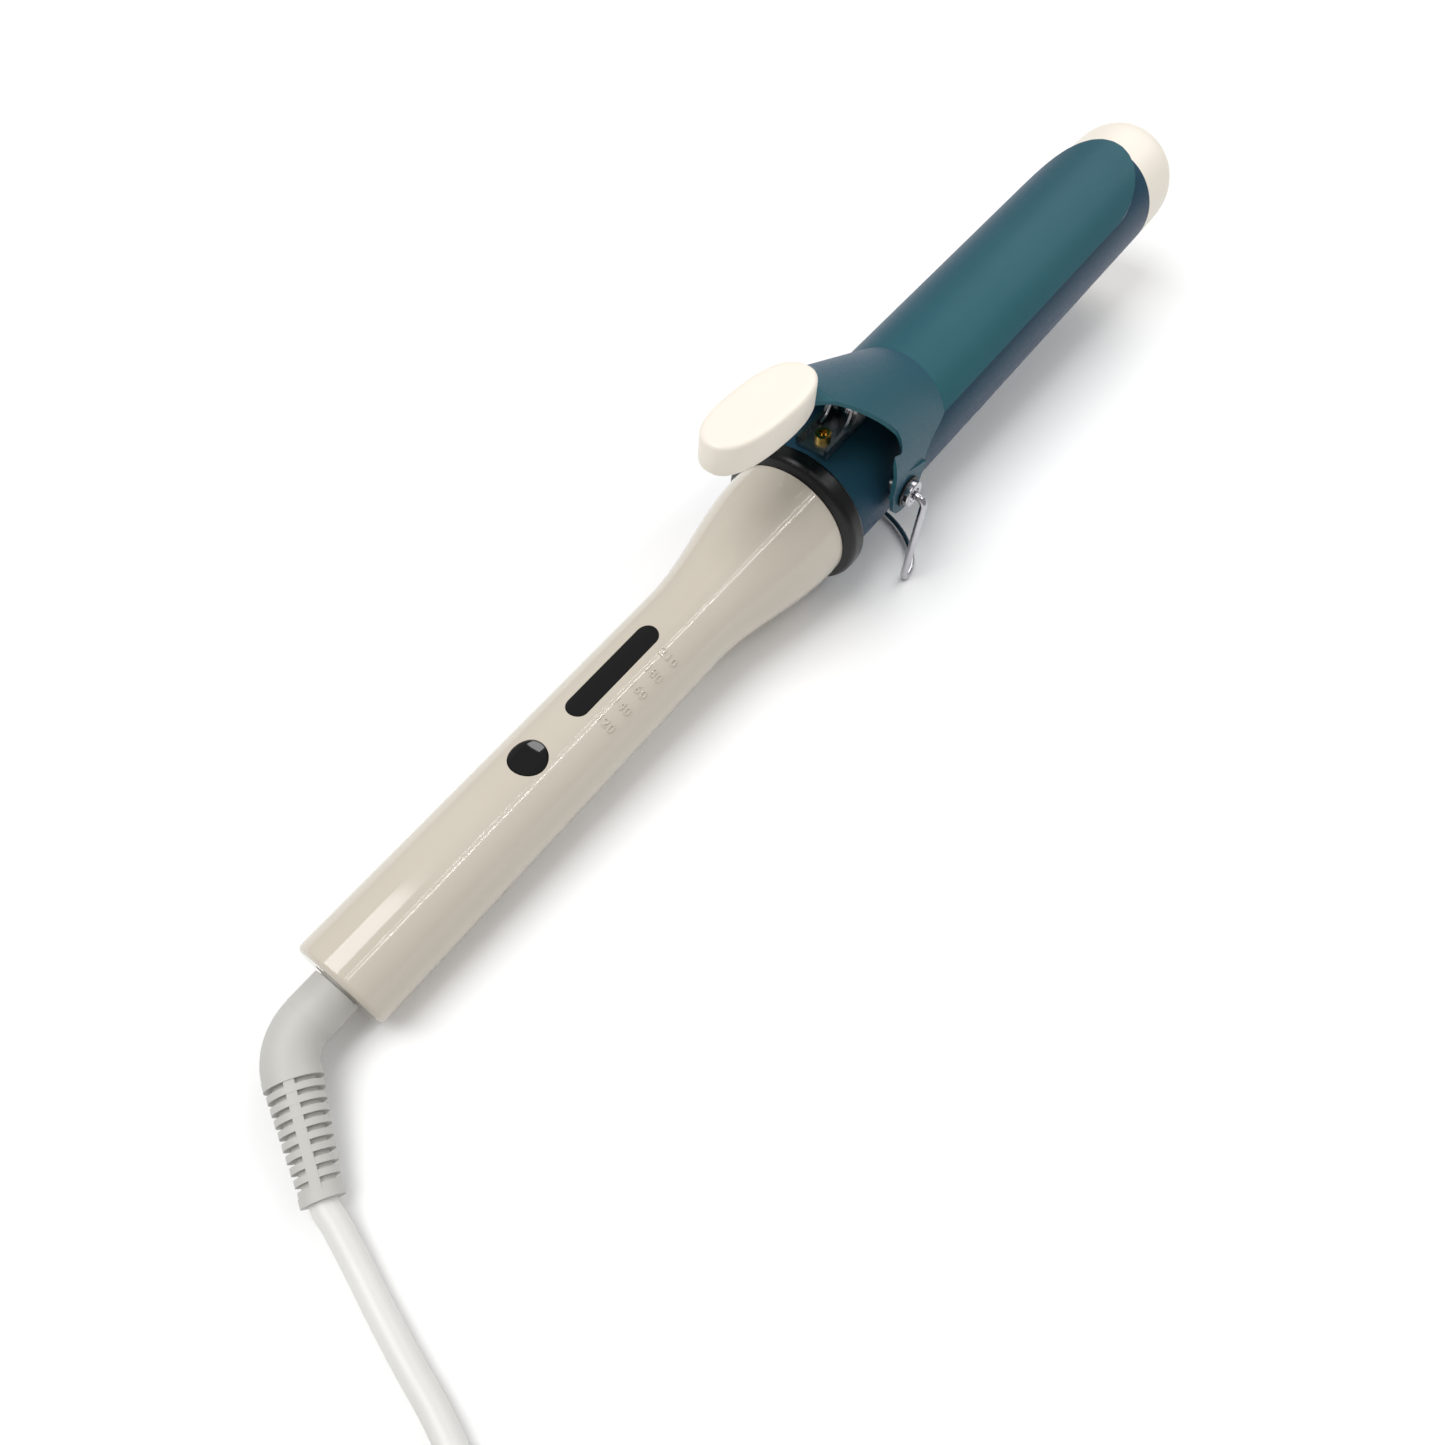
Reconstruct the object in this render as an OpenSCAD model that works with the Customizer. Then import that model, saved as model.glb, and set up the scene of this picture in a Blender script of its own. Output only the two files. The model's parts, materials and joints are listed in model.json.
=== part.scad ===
// Curling iron: heated barrel with a sprung clamp, wire legs and a swivelling cord.
// The iron is drawn along +X with its axis on the X axis, then tipped up so that it
// stands on the rear rim of its handle and on the feet of its two wire legs.

/* [Handle] */
// Length of the handle, from its rear face to its neck
handle_len = 170.5; // [150:0.5:210]
// Outer radius of the grip
grip_r = 12.7; // [12:0.1:16]
// Outer radius of the neck, where the handle meets the guard ring
neck_r = 19; // [18:0.1:24]
// Length of the flare between the grip and the neck
flare_len = 45; // [35:1:60]
// Wall of the handle shell
handle_wall = 2.6; // [1.8:0.1:3]
// Rounding of the rear rim
rim_fillet = 1.5; // [0.8:0.1:2.5]

/* [Guard ring] */
// Length of the visible part of the ring
ring_len = 6.7; // [5:0.1:12]
// How far the ring stands proud of the barrel
ring_proud = 2.8; // [1.5:0.1:4]

/* [Barrel] */
// Outer radius of the barrel
barrel_r = 19; // [16:0.1:23]
// Wall of the barrel tube
barrel_wall = 0.8; // [0.8:0.1:1.6]
// Length of the barrel from the ring to the tip cap
barrel_len = 178.2; // [150:1:220]
// Length of the domed tip cap
cap_len = 22.9; // [14:0.5:30]

/* [Clamp] */
// Thickness of the clamp sheet
clamp_sheet = 1.1; // [0.8:0.1:1.6]
// Gap between the closed clamp and the barrel
clamp_gap = 1.2; // [0.5:0.1:1.5]
// Half of the angle that the spoon covers round the barrel
spoon_half_angle = 57; // [40:1:65]
// Length of the rounded end of the spoon
spoon_end_len = 28; // [18:1:36]
// Distance from the ring to the crease where the hood begins
crease_from_ring = 48.8; // [44:1:60]
// Distance from the ring to the pivot of the clamp
pivot_from_ring = 18.8; // [14:0.1:24]
// Height of the pivot above the axis of the barrel
pivot_z = 5; // [4:0.5:9]
// Radius of the rounded ears round the pivot
ear_r = 7; // [6:0.1:9]
// Gap between the barrel and the inner face of an ear
ear_gap = 2.7; // [2.5:0.1:4]

/* [Thumb rest] */
// Length of the thumb rest
rest_len = 40; // [30:1:50]
// Width of the thumb rest
rest_w = 16.2; // [14:0.1:22]
// Thickness of the thumb rest
rest_th = 9.3; // [7.5:0.1:12]
// Height of the middle of its top above the barrel
rest_rise = 35.8; // [33:0.1:42]
// Distance from the ring back to the middle of the thumb rest
rest_back = 20.9; // [18:0.1:26]
// Slope of its top, rising towards the handle
rest_slope = 6.3; // [3:0.1:9]

/* [Stand] */
// Thickness of the stand wire
wire_d = 2.2; // [1.6:0.1:2.4]
// Distance from the pivot down to the middle of the wire at the foot
leg_len = 30.3; // [27:0.1:35]
// Lean of a leg towards the handle
leg_lean = 9.8; // [4:0.5:16]
// Distance from an ear to the outer run of its leg
leg_out = 6.2; // [5.5:0.1:8]
// Distance the arch on the table reaches out from the feet
arch_reach = 21.1; // [16:0.1:26]

/* [Controls] */
// Radius of the power button
button_r = 4.7; // [4:0.1:5.5]
// Distance of the power button from the rear face
button_x = 64.8; // [58:0.1:68]
// Distance of the middle of the display window from the rear face
window_x = 96; // [92:0.5:104]
// Distance between the round ends of the window
window_span = 26.4; // [20:0.1:30]
// Width of the window
window_w = 6; // [5:0.1:7]
// Travel of the button
button_travel = 0.6; // [0.3:0.1:0.6]

/* [Cord] */
// Diameter of the cord
cord_d = 6; // [5:0.1:7]
// Radius of the cord sleeve
sleeve_r = 6.3; // [6:0.1:7]
// Length of the ribbed part of the sleeve
ribbed_len = 27; // [20:1:32]
// Number of slots along the ribbed part
sleeve_slots = 9; // [5:1:12]

/* [Hidden] */
$fn = 72;

// Clearances
fit = 0.1;            // between pieces fixed to each other
running = 0.05;       // radial gap of a shaft that turns in its hole
free_gap = 0.3;       // between pieces that move past each other

// Stations along the axis
ring_x = handle_len;
barrel_x0 = ring_x + ring_len;
barrel_x1 = barrel_x0 + barrel_len;
pivot_x = barrel_x0 + pivot_from_ring;
crease_x = barrel_x0 + crease_from_ring;
rest_x = barrel_x0 - rest_back;
flare_x1 = handle_len - 2.5;
flare_x0 = flare_x1 - flare_len;

// Radii
grip_in = grip_r - handle_wall;
barrel_in = barrel_r - barrel_wall;
ring_r = barrel_r + ring_proud;
clamp_in = barrel_r + clamp_gap;
clamp_r = clamp_in + clamp_sheet;
ear_in = barrel_r + ear_gap;
ear_out = ear_in + clamp_sheet;
wire_r = wire_d / 2;

// Neck socket that takes the sleeve of the guard ring
neck_socket_len = 9;
neck_socket_r = neck_r - handle_wall;
sleeve_wall = 2;
ring_seat = 4.5;      // depth of the barrel inside the ring
collar_len = 9;       // length of the ring's sleeve inside the barrel

// The hood is a cone tilted up from the crease; its top line runs on to the lever,
// which carries the thumb rest
rest_z = barrel_r + rest_rise;
lever_drop = 8;       // top of the lever below the top of the thumb rest
corner_x = rest_x + rest_len / 2 + 2;
corner_z = rest_z - (corner_x - rest_x) * tan(rest_slope) - lever_drop / cos(rest_slope);
hood_slope = atan((corner_z - clamp_r) / (crease_x - corner_x));
hood_flare = 5;
hood_tilt = hood_slope - hood_flare;
hood_r0 = clamp_r - 0.7;
lever_tube_r = hood_r0 + tan(hood_flare) * (crease_x - corner_x);
lever_half_w = rest_w / 2 - 3.7;
shoulder_x = pivot_x - 2.3;
shoulder_half_w = ear_out - 4.5;
notch_r = 7;
notch_x = pivot_x + ear_r + notch_r + 2.2;
notch_z = pivot_z + 3.3;

// Stand: the iron rests on its rear rim and on the feet of the legs
foot_back = leg_len * sin(leg_lean);
foot_drop = leg_len * cos(leg_lean);
stand_a = pivot_x - foot_back - rim_fillet;
stand_b = foot_drop - pivot_z - (grip_r - rim_fillet);
tilt = atan(stand_b / stand_a) + asin((wire_r - rim_fillet) / norm([stand_a, stand_b]));
lift = rim_fillet - rim_fillet * sin(tilt) + (grip_r - rim_fillet) * cos(tilt);

// Tip cap: straight skirt, then a dome with a squarish shoulder
cap_r = barrel_r;
cap_skirt = 9;
cap_wall = 1.4;
dome_power = 3.6;
function dome_r(x) = cap_r * pow(max(0, 1 - pow(x / (cap_len - cap_skirt), dome_power)), 1 / dome_power);
dome_steps = 16;
function dome_x(i) = (cap_len - cap_skirt) * sin(90 * i / dome_steps);
cap_reach = max([for (i = [0:dome_steps])
  (barrel_x1 + cap_skirt + dome_x(i)) * cos(tilt) + dome_r(dome_x(i)) * sin(tilt)]);
rear_reach = rim_fillet - rim_fillet - (grip_r - rim_fillet) * sin(tilt) - rim_fillet * (1 - cos(tilt));
centre_x = (cap_reach + rear_reach) / 2;

// Cord sleeve: along the axis, round an elbow, then straight to its end
sleeve_gap = 0.6;
sleeve_run = 8.4;
elbow_r = 12;
elbow_turn = 60;
elbow_dip = 10;
journal_r = 5;

// Cord route on the surface the iron stands on, after the sleeve
cord_r = cord_d / 2;
CORD_ROUTE = [[-222.5, -34.5, 4.3], [-225, -43, 3.2], [-228, -53, 3], [-231, -64, 3],
  [-233.8, -75, 3], [-237.8, -86, 3], [-243.5, -96.5, 3], [-251, -106.3, 3], [-260.3, -115.7, 3]];
coil_at = [-290, -86, 0];
coil_mid_r = 36;
coil_band = 3 * cord_d;
// Tail from the coil to the plug
TAIL_ROUTE = [[-332, -86, 15], [-332, -78, 14.9], [-332, -70, 14.2], [-332, -63, 12.2], [-332, -55.5, 9.4],
  [-332, -48.5, 7.4], [-332, -43.5, 6.9], [-332, -40.5, 6.9], [-332, -37.8, 6.9]];
plug_at = [-332, -41, 6.9];
plug_turn = 90;
plug_w = 35.3;
plug_h = 13.7;
plug_len = 36;
pin_r = 2;
pin_len = 19;
pin_gap = 18.6;

// ---------------------------------------------------------------- helpers

// Puts the drawing of the iron on its stand, with the middle of its footprint at the origin
module placed() {
  translate([-centre_x, 0, lift]) rotate([0, -tilt, 0]) children();
}

// Local Z runs along +X
module along_x(x = 0) {
  translate([x, 0, 0]) rotate([0, 90, 0]) children();
}

// Local Z runs along the outward Y of one side
module along_y(side, x, z) {
  translate([x, 0, z]) rotate([-side * 90, 0, 0]) children();
}

module ring_x_solid(x0, x1, r_out, r_in) {
  along_x(x0) difference() {
    cylinder(h = x1 - x0, r = r_out);
    if (r_in > 0) translate([0, 0, -1]) cylinder(h = x1 - x0 + 2, r = r_in);
  }
}

// Upright slot with round ends, along X
module slot(x, span, w, z0, z1) {
  translate([x - span / 2, -w / 2, z0]) cube([span, w, z1 - z0]);
  for (e = [-1, 1]) translate([x + e * span / 2, 0, z0]) cylinder(h = z1 - z0, r = w / 2);
}

// Pan-head screw pointing down from z = 0
module screw(len, r, head_r, head_h) {
  translate([0, 0, -len]) cylinder(h = len + 0.01, r = r);
  difference() {
    cylinder(h = head_h, r = head_r);
    for (a = [0, 90]) rotate([0, 0, a]) translate([-head_r * 0.6, -0.4, head_h * 0.4])
      cube([head_r * 1.2, 0.8, head_h]);
  }
}

function smooth(t) = t <= 0 ? 0 : t >= 1 ? 1 : t * t * (3 - 2 * t);
function handle_r(x) = grip_r + (neck_r - grip_r) * smooth((x - flare_x0) / (flare_x1 - flare_x0));
function arc(cx, cy, r, a0, a1, n = 8) =
  [for (i = [0:n]) [cx + r * cos(a0 + (a1 - a0) * i / n), cy + r * sin(a0 + (a1 - a0) * i / n)]];

// Points along one wire or cord: each ring of the tube turns with the route
function unit(v) = v / norm(v);
function along(p, i) = unit(p[min(i + 1, len(p) - 1)] - p[max(i - 1, 0)]);
function side_of(t) = unit(abs(t.z) < 0.9 ? cross([0, 0, 1], t) : cross([0, 1, 0], t));
module tube(p, r, sides) {
  n = len(p);
  rings = [for (i = [0:n - 1]) let (t = along(p, i), u = side_of(t), v = cross(t, u))
    for (k = [0:sides - 1]) let (a = 360 * k / sides) p[i] + r * (cos(a) * u + sin(a) * v)];
  walls = [for (i = [0:n - 2]) for (k = [0:sides - 1]) let (b = (k + 1) % sides)
    [i * sides + k, i * sides + b, (i + 1) * sides + b, (i + 1) * sides + k]];
  ends = [[for (k = [sides - 1:-1:0]) k], [for (k = [0:sides - 1]) (n - 1) * sides + k]];
  polyhedron(points = rings, faces = [for (f = concat(walls, ends)) [for (k = [len(f) - 1:-1:0]) f[k]]]);
}

// Smooth curve through a route
function curve_point(a, b, c, d, t) = 0.5 * ((2 * b) + (c - a) * t
  + (2 * a - 5 * b + 4 * c - d) * t * t + (3 * b - a - 3 * c + d) * t * t * t);
function curve(p, steps) = [for (i = [0:len(p) - 2]) for (s = [0:steps - (i == len(p) - 2 ? 0 : 1)])
  curve_point(p[max(i - 1, 0)], p[i], p[i + 1], p[min(i + 2, len(p) - 1)], s / steps)];

// ---------------------------------------------------------------- handle

module handle_shell() {
  flare_steps = 16;
  outer = concat(
    arc(grip_r - rim_fillet, rim_fillet, rim_fillet, -90, 0, 6),
    [for (i = [0:flare_steps]) let (x = flare_x0 + (flare_x1 - flare_x0) * i / flare_steps)
      [handle_r(x), x]],
    arc(neck_r - 0.5, handle_len - 0.5, 0.5, 0, 90, 3));
  socket_x = handle_len - neck_socket_len;
  inner = concat(
    [[neck_socket_r, handle_len], [neck_socket_r, socket_x]],
    [for (i = [flare_steps:-1:0]) let (x = flare_x0 + (socket_x - flare_x0) * i / flare_steps)
      [min(neck_socket_r, handle_r(x) - handle_wall) - (i == flare_steps ? 0.4 : 0), x]],
    [[grip_in, 3], [swivel_hole_r, 3], [swivel_hole_r, 0]]);
  color([0.82, 0.79, 0.75]) placed() difference() {
    rotate([0, 90, 0]) rotate_extrude() polygon(concat(outer, inner));
    translate([button_x, 0, grip_in / 2]) cylinder(h = grip_r, r = button_r + free_gap);
    slot(window_x, window_span, window_w + 2 * fit, grip_in / 2, grip_r + 2);
    translate([neck_screw_x, 0, -neck_r - 1]) cylinder(h = neck_r, r = screw_r + fit);
    translate([neck_screw_x, 0, -neck_r - 1]) cylinder(h = 2.2, r = screw_head_r + 2 * fit);
  }
}
swivel_hole_r = journal_r + 2;
screw_r = 1.3;
screw_head_r = 2.4;
neck_screw_x = handle_len - 5;

module power_button() {
  flange_z = grip_in * 0.79;
  color([0.06, 0.06, 0.07]) placed() {
    difference() {
      intersection() {
        translate([button_x, 0, flange_z - 1]) cylinder(h = grip_r, r = button_r);
        along_x(button_x - 2 * button_r) cylinder(h = 4 * button_r, r = grip_r - 0.15);
      }
      translate([button_x, 0, grip_r + dish_r - 0.75]) sphere(r = dish_r, $fn = 96);
    }
    translate([button_x, 0, flange_z - 1.2]) cylinder(h = 1, r = button_r + 1.2);
    translate([button_x, 0, switch_top + button_travel + 0.1])
      cylinder(h = flange_z - 1 - switch_top - button_travel - 0.1, r = 1.5);
  }
}
dish_r = 26;

module display_window() {
  color([0.03, 0.03, 0.04]) placed() {
    intersection() {
      slot(window_x, window_span, window_w, grip_in / 2, grip_r + 1);
      ring_x_solid(window_x - window_span, window_x + window_span, grip_r, grip_in - 0.9);
    }
    intersection() {
      slot(window_x, window_span, window_w + 3, grip_in / 2, grip_r + 1);
      ring_x_solid(window_x - window_span, window_x + window_span, grip_in - fit, grip_in - 0.9);
    }
  }
}

// Board and what is on it
board_x0 = 42;
board_x1 = 132;
board_half_w = grip_in - 1.8;
board_top = 2;
board_th = 1.6;
led_step = window_span / 4.4;
switch_top = board_top + 3.9;
board_screw_x = [board_x0 + 4, board_x1 - 4];

module circuit_board() {
  color([0.05, 0.3, 0.15]) placed() difference() {
    translate([board_x0, -board_half_w, board_top - board_th])
      cube([board_x1 - board_x0, 2 * board_half_w, board_th]);
    for (x = board_screw_x) translate([x, 0, -1]) cylinder(h = 5, r = screw_r + fit);
  }
}

module board_cradle() {
  cradle_r = grip_in - fit;
  bottom = board_top - board_th;
  color([0.2, 0.2, 0.22]) placed() difference() {
    union() {
      intersection() {
        ring_x_solid(board_x0 - 2, board_x1 + 2, cradle_r, cradle_r - 1.2);
        translate([board_x0 - 3, -grip_r, -grip_r]) cube([board_x1 - board_x0 + 6, 2 * grip_r, grip_r + bottom]);
      }
      for (x = [board_x0, board_x0 + 30, board_x0 + 60, board_x1 - 1.5]) intersection() {
        along_x(x) cylinder(h = 1.5, r = cradle_r);
        translate([x - 1, -grip_r, -grip_r]) cube([4, 2 * grip_r, grip_r + bottom]);
      }
      for (x = board_screw_x) intersection() {
        translate([x, 0, -grip_r]) cylinder(h = grip_r + bottom, r = 3);
        along_x(x - 4) cylinder(h = 8, r = cradle_r);
      }
    }
    for (x = board_screw_x) translate([x, 0, bottom - 6]) cylinder(h = 7, r = screw_r);
  }
}

module board_screws() {
  color("silver") placed() for (x = board_screw_x)
    translate([x, 0, board_top]) screw(6, screw_r, screw_head_r, 1.4);
}

module button_switch() {
  color([0.15, 0.15, 0.16]) placed() {
    translate([button_x - 3, -3, board_top]) cube([6, 6, 3.3]);
    translate([button_x, 0, board_top + 3]) cylinder(h = switch_top - board_top - 3, r = 1.7);
  }
}

module indicator_leds() {
  color([0.95, 0.95, 0.85]) placed() for (i = [-2:2])
    translate([window_x + i * led_step, 0, board_top]) {
      cylinder(h = 0.8, r = 1.7);
      cylinder(h = 2.6, r = 1.4);
      translate([0, 0, 2.6]) sphere(r = 1.4);
    }
}

module light_guide() {
  top = grip_in - 1.4;
  color([0.12, 0.12, 0.13]) placed() difference() {
    translate([window_x - window_span / 2 - 3, -2.8, board_top])
      cube([window_span + 6, 5.6, top - board_top]);
    for (i = [-2:2]) translate([window_x + i * led_step, 0, 0]) cylinder(h = grip_r, r = 1.8);
  }
}

module film_capacitor() {
  color([0.75, 0.6, 0.1]) placed() {
    translate([board_x1 - 19, -5.5, board_top]) cube([9, 11, 5.5]);
  }
}

module power_triac() {
  color([0.1, 0.1, 0.1]) placed() {
    translate([board_x0 + 8.5, -4.6, board_top]) cube([8, 9.2, 4.2]);
    translate([board_x0 + 7.7, -4.6, board_top]) cube([0.8, 9.2, 5]);
  }
}

module control_chip() {
  color([0.08, 0.08, 0.09]) placed() {
    translate([button_x + 5, -6.6, board_top]) cube([8, 5, 1.5]);
    for (i = [0:5], s = [-1, 1]) translate([button_x + 5.5 + i * 1.25, -4.4 + s * 2.6, board_top])
      cube([0.5, 1.2, 0.5], center = false);
  }
}

module board_fuse() {
  color([0.85, 0.8, 0.7]) placed() translate([button_x + 5, 4.5, board_top + 1.8]) {
    along_x() cylinder(h = 8, r = 1.6);
    along_x(-1.5) cylinder(h = 11, r = 0.4);
    for (x = [-1.5, 9.5]) translate([x, 0, -1.8]) cylinder(h = 1.8, r = 0.4);
  }
}

// ---------------------------------------------------------------- swivel

bush_flange = 1.5;
clip_x = 3 + bush_flange + free_gap;
carrier_x1 = 22;

module swivel_bush() {
  color([0.9, 0.9, 0.88]) placed() {
    ring_x_solid(0.2, 3.01, swivel_hole_r - running, journal_r + running);
    ring_x_solid(3, 3 + bush_flange, swivel_hole_r + 1.6, journal_r + running);
  }
}

module swivel_clip() {
  color("silver") placed() ring_x_solid(clip_x, clip_x + 1, journal_r + 2, journal_r - 0.8);
}

module slip_rings() {
  color([0.8, 0.62, 0.25]) placed() for (x = [9, 15])
    ring_x_solid(x, x + 3, journal_r - 0.2, journal_r - 1.6);
}

module brush_block() {
  color([0.25, 0.16, 0.1]) placed() difference() {
    translate([7, -4.4, -grip_in * 0.88]) cube([17, 8.8, 2.2]);
    for (x = [10.5, 16.5]) translate([x, 0, -grip_r]) cylinder(h = grip_r, r = 0.8);
  }
}

module contact_brushes() {
  ring_low = journal_r - 0.2;
  color([0.8, 0.55, 0.3]) placed() for (x = [10.5, 16.5]) {
    translate([x, 0, -grip_in * 0.88 - 0.4]) cylinder(h = grip_in * 0.88 + 0.4 - ring_low - free_gap, r = 0.8);
    translate([x - 1, -1.6, -ring_low - free_gap - 0.8]) cube([2, 3.2, 0.8]);
  }
}

// ---------------------------------------------------------------- guard ring and barrel

module guard_ring() {
  sleeve_x0 = handle_len - neck_socket_len + 0.5;
  seat_x = barrel_x0 - ring_seat;
  round = min(2.4, ring_proud * 0.8, ring_len * 0.35);
  collar_out = barrel_in - fit;
  neck_out = neck_socket_r - fit;
  bore_r = neck_out - sleeve_wall;
  color([0.05, 0.05, 0.06]) placed() difference() {
    rotate([0, 90, 0]) rotate_extrude() polygon(concat(
      [[bore_r, sleeve_x0], [neck_out, sleeve_x0], [neck_out, ring_x + 0.05], [neck_r - 0.1, ring_x + 0.05]],
      arc(ring_r - round, ring_x + 0.6 + round, round, -70, 0, 6),
      arc(ring_r - 1.2, barrel_x0 - 1.2, 1.2, 0, 90, 5),
      [[barrel_r + fit, barrel_x0], [barrel_r + fit, seat_x], [collar_out, seat_x],
       [collar_out, barrel_x0 + collar_len], [bore_r, barrel_x0 + collar_len]]));
    translate([neck_screw_x, 0, -neck_r]) cylinder(h = neck_r, r = screw_r);
    translate([bracket_screw_x, 0, 0]) cylinder(h = barrel_r, r = screw_r);
    for (a = barrel_screw_a) rotate([a, 0, 0]) translate([barrel_screw_x, 0, 0])
      cylinder(h = barrel_r, r = screw_r);
  }
}
barrel_screw_x = barrel_x0 + 5;
barrel_screw_a = [150, 210];

module neck_screw() {
  color("silver") placed() translate([neck_screw_x, 0, -neck_r + 1.2]) rotate([180, 0, 0])
    screw(3.2, screw_r, screw_head_r, 1.1);
}

module barrel_tube() {
  color([0.21, 0.34, 0.37]) placed() difference() {
    ring_x_solid(barrel_x0 - ring_seat + fit, barrel_x1, barrel_r, barrel_in);
    for (s = [-1, 1]) along_y(s, pivot_x, pivot_z) cylinder(h = barrel_r + 1, r = stud_r + fit);
    translate([bracket_screw_x, 0, 0]) cylinder(h = barrel_r + 1, r = screw_r + fit);
    for (a = barrel_screw_a) rotate([a, 0, 0]) translate([barrel_screw_x, 0, 0])
      cylinder(h = barrel_r + 1, r = screw_r + fit);
  }
}

module barrel_screws() {
  color("silver") placed() for (a = barrel_screw_a)
    rotate([a, 0, 0]) translate([barrel_screw_x, 0, barrel_r]) screw(3, screw_r, screw_head_r, 1.2);
}

module wire_disc() {
  x = barrel_x0 + collar_len + 0.5;
  color([0.85, 0.8, 0.7]) placed() difference() {
    ring_x_solid(x, x + 2, barrel_in - fit, 0);
    for (y = lead_y) translate([x - 1, y, lead_z]) along_x() cylinder(h = 4, r = lead_r + fit);
    translate([bracket_screw_x, 0, 0]) cylinder(h = barrel_r, r = screw_r + 4 * fit);
  }
}

// ---------------------------------------------------------------- heater

heater_x = (barrel_x0 + barrel_x1) / 2 - 14;
heater_len = 60;
heater_half_w = 7;
plate_th = 2.4;
electrode_th = 0.6;
film_th = 0.3;
stack = plate_th / 2 + electrode_th;
lead_r = 0.9;
lead_y = [-4.5, 4.5];
lead_z = -stack - film_th - 2;

module heater_plate() {
  color([0.45, 0.4, 0.38]) placed() for (i = [0:2])
    translate([heater_x - heater_len / 2 + i * heater_len / 3 + 0.2, -heater_half_w + 1, -plate_th / 2])
      cube([heater_len / 3 - 0.4, 2 * heater_half_w - 2, plate_th]);
}

module heater_electrodes() {
  color("silver") placed() for (s = [0, 1]) mirror([0, 0, s]) {
    translate([heater_x - heater_len / 2 - 3, -heater_half_w + 0.5, plate_th / 2])
      cube([heater_len + 6, 2 * heater_half_w - 1, electrode_th]);
  }
}

module heater_film() {
  color([0.7, 0.45, 0.15]) placed() difference() {
    translate([heater_x - heater_len / 2 - 2, -heater_half_w, -stack - film_th])
      cube([heater_len + 4, 2 * heater_half_w, 2 * (stack + film_th)]);
    translate([heater_x - heater_len, -heater_half_w + film_th, -stack])
      cube([2 * heater_len, 2 * (heater_half_w - film_th), 2 * stack]);
  }
}

module heat_spreaders() {
  x0 = heater_x - heater_len / 2 - 5;
  span = heater_len + 10;
  floor_z = stack + film_th;
  web = 1.1;
  color([0.75, 0.76, 0.78]) placed() for (s = [0, 1]) mirror([0, 0, s]) difference() {
    intersection() {
      along_x(x0) cylinder(h = span, r = barrel_in - fit);
      translate([x0, -barrel_r, floor_z]) cube([span, 2 * barrel_r, barrel_r]);
    }
    difference() {
      intersection() {
        along_x(x0 - 1) cylinder(h = span + 2, r = barrel_in - fit - web);
        translate([x0 - 1, -barrel_r, floor_z + web]) cube([span + 2, 2 * barrel_r, barrel_r]);
      }
      translate([x0, -web / 2, 0]) cube([span, web, barrel_r]);
    }
  }
}

module thermal_fuse() {
  color("silver") placed() translate([heater_x - heater_len / 2 - 4, 6, stack + film_th + 1.1 + 2.3]) {
    along_x() cylinder(h = 11, r = 2);
    along_x(-8) cylinder(h = 8.1, r = 0.5);
    along_x(10.9) cylinder(h = 6, r = 0.5);
  }
}

module temperature_probe() {
  color([0.7, 0.3, 0.2]) placed() translate([heater_x - heater_len / 2 + 6, -6, stack + film_th + 1.1 + 1.5]) {
    sphere(r = 1.3);
    for (y = [-0.6, 0.6]) translate([0, y, 0]) rotate([0, -90, 0]) cylinder(h = 30, r = 0.35);
  }
}

module heater_leads() {
  color([0.9, 0.88, 0.82]) placed() for (y = lead_y) translate([board_x1 + 4, y, lead_z])
    along_x() cylinder(h = heater_x - heater_len / 2 - 6 - board_x1 - 4, r = lead_r);
}

// ---------------------------------------------------------------- tip

module tip_cap() {
  spigot_out = barrel_in - fit;
  color([0.9, 0.87, 0.82]) placed() along_x(barrel_x1) rotate_extrude() polygon(concat(
    [[spigot_out, 0.05], [cap_r, 0.05]],
    [for (i = [0:dome_steps - 1]) [dome_r(dome_x(i)), cap_skirt + dome_x(i)]],
    [[0, cap_len], [0, cap_len - cap_wall], [spigot_out - 4, cap_len - cap_wall - 0.3],
     [spigot_out - cap_wall, cap_skirt], [spigot_out - cap_wall, -8], [spigot_out, -8]]));
}

module tip_disc() {
  color([0.85, 0.8, 0.7]) placed() ring_x_solid(barrel_x1 - 12, barrel_x1 - 10, barrel_in - fit, 2);
}

// ---------------------------------------------------------------- clamp

// Cone of the hood, or what is inside it; local Z runs from the crease up the axis
module hood_cone(inset) {
  back = 16;
  reach = (crease_x - corner_x) * 1.3;
  k = tan(hood_flare);
  translate([crease_x - hood_r0 * sin(hood_tilt), 0, clamp_r - hood_r0 * cos(hood_tilt)])
    rotate([0, hood_tilt - 90, 0]) translate([0, 0, -back])
      cylinder(h = back + reach, r1 = hood_r0 - back * k - inset, r2 = hood_r0 + reach * k - inset);
}

// Outline of the spoon from above: straight sides and an elliptical end
module spoon_outline() {
  half = clamp_r * sin(spoon_half_angle);
  x = barrel_x1 - spoon_end_len;
  polygon(concat([[crease_x - 20, -half], [x, -half]],
    [for (i = [1:17]) let (t = -90 + 10 * i)
      [x + (spoon_end_len - 0.6) * cos(t), clamp_r * sin(spoon_half_angle * sin(t))]],
    [[x, half], [crease_x - 20, half]]));
}

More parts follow.
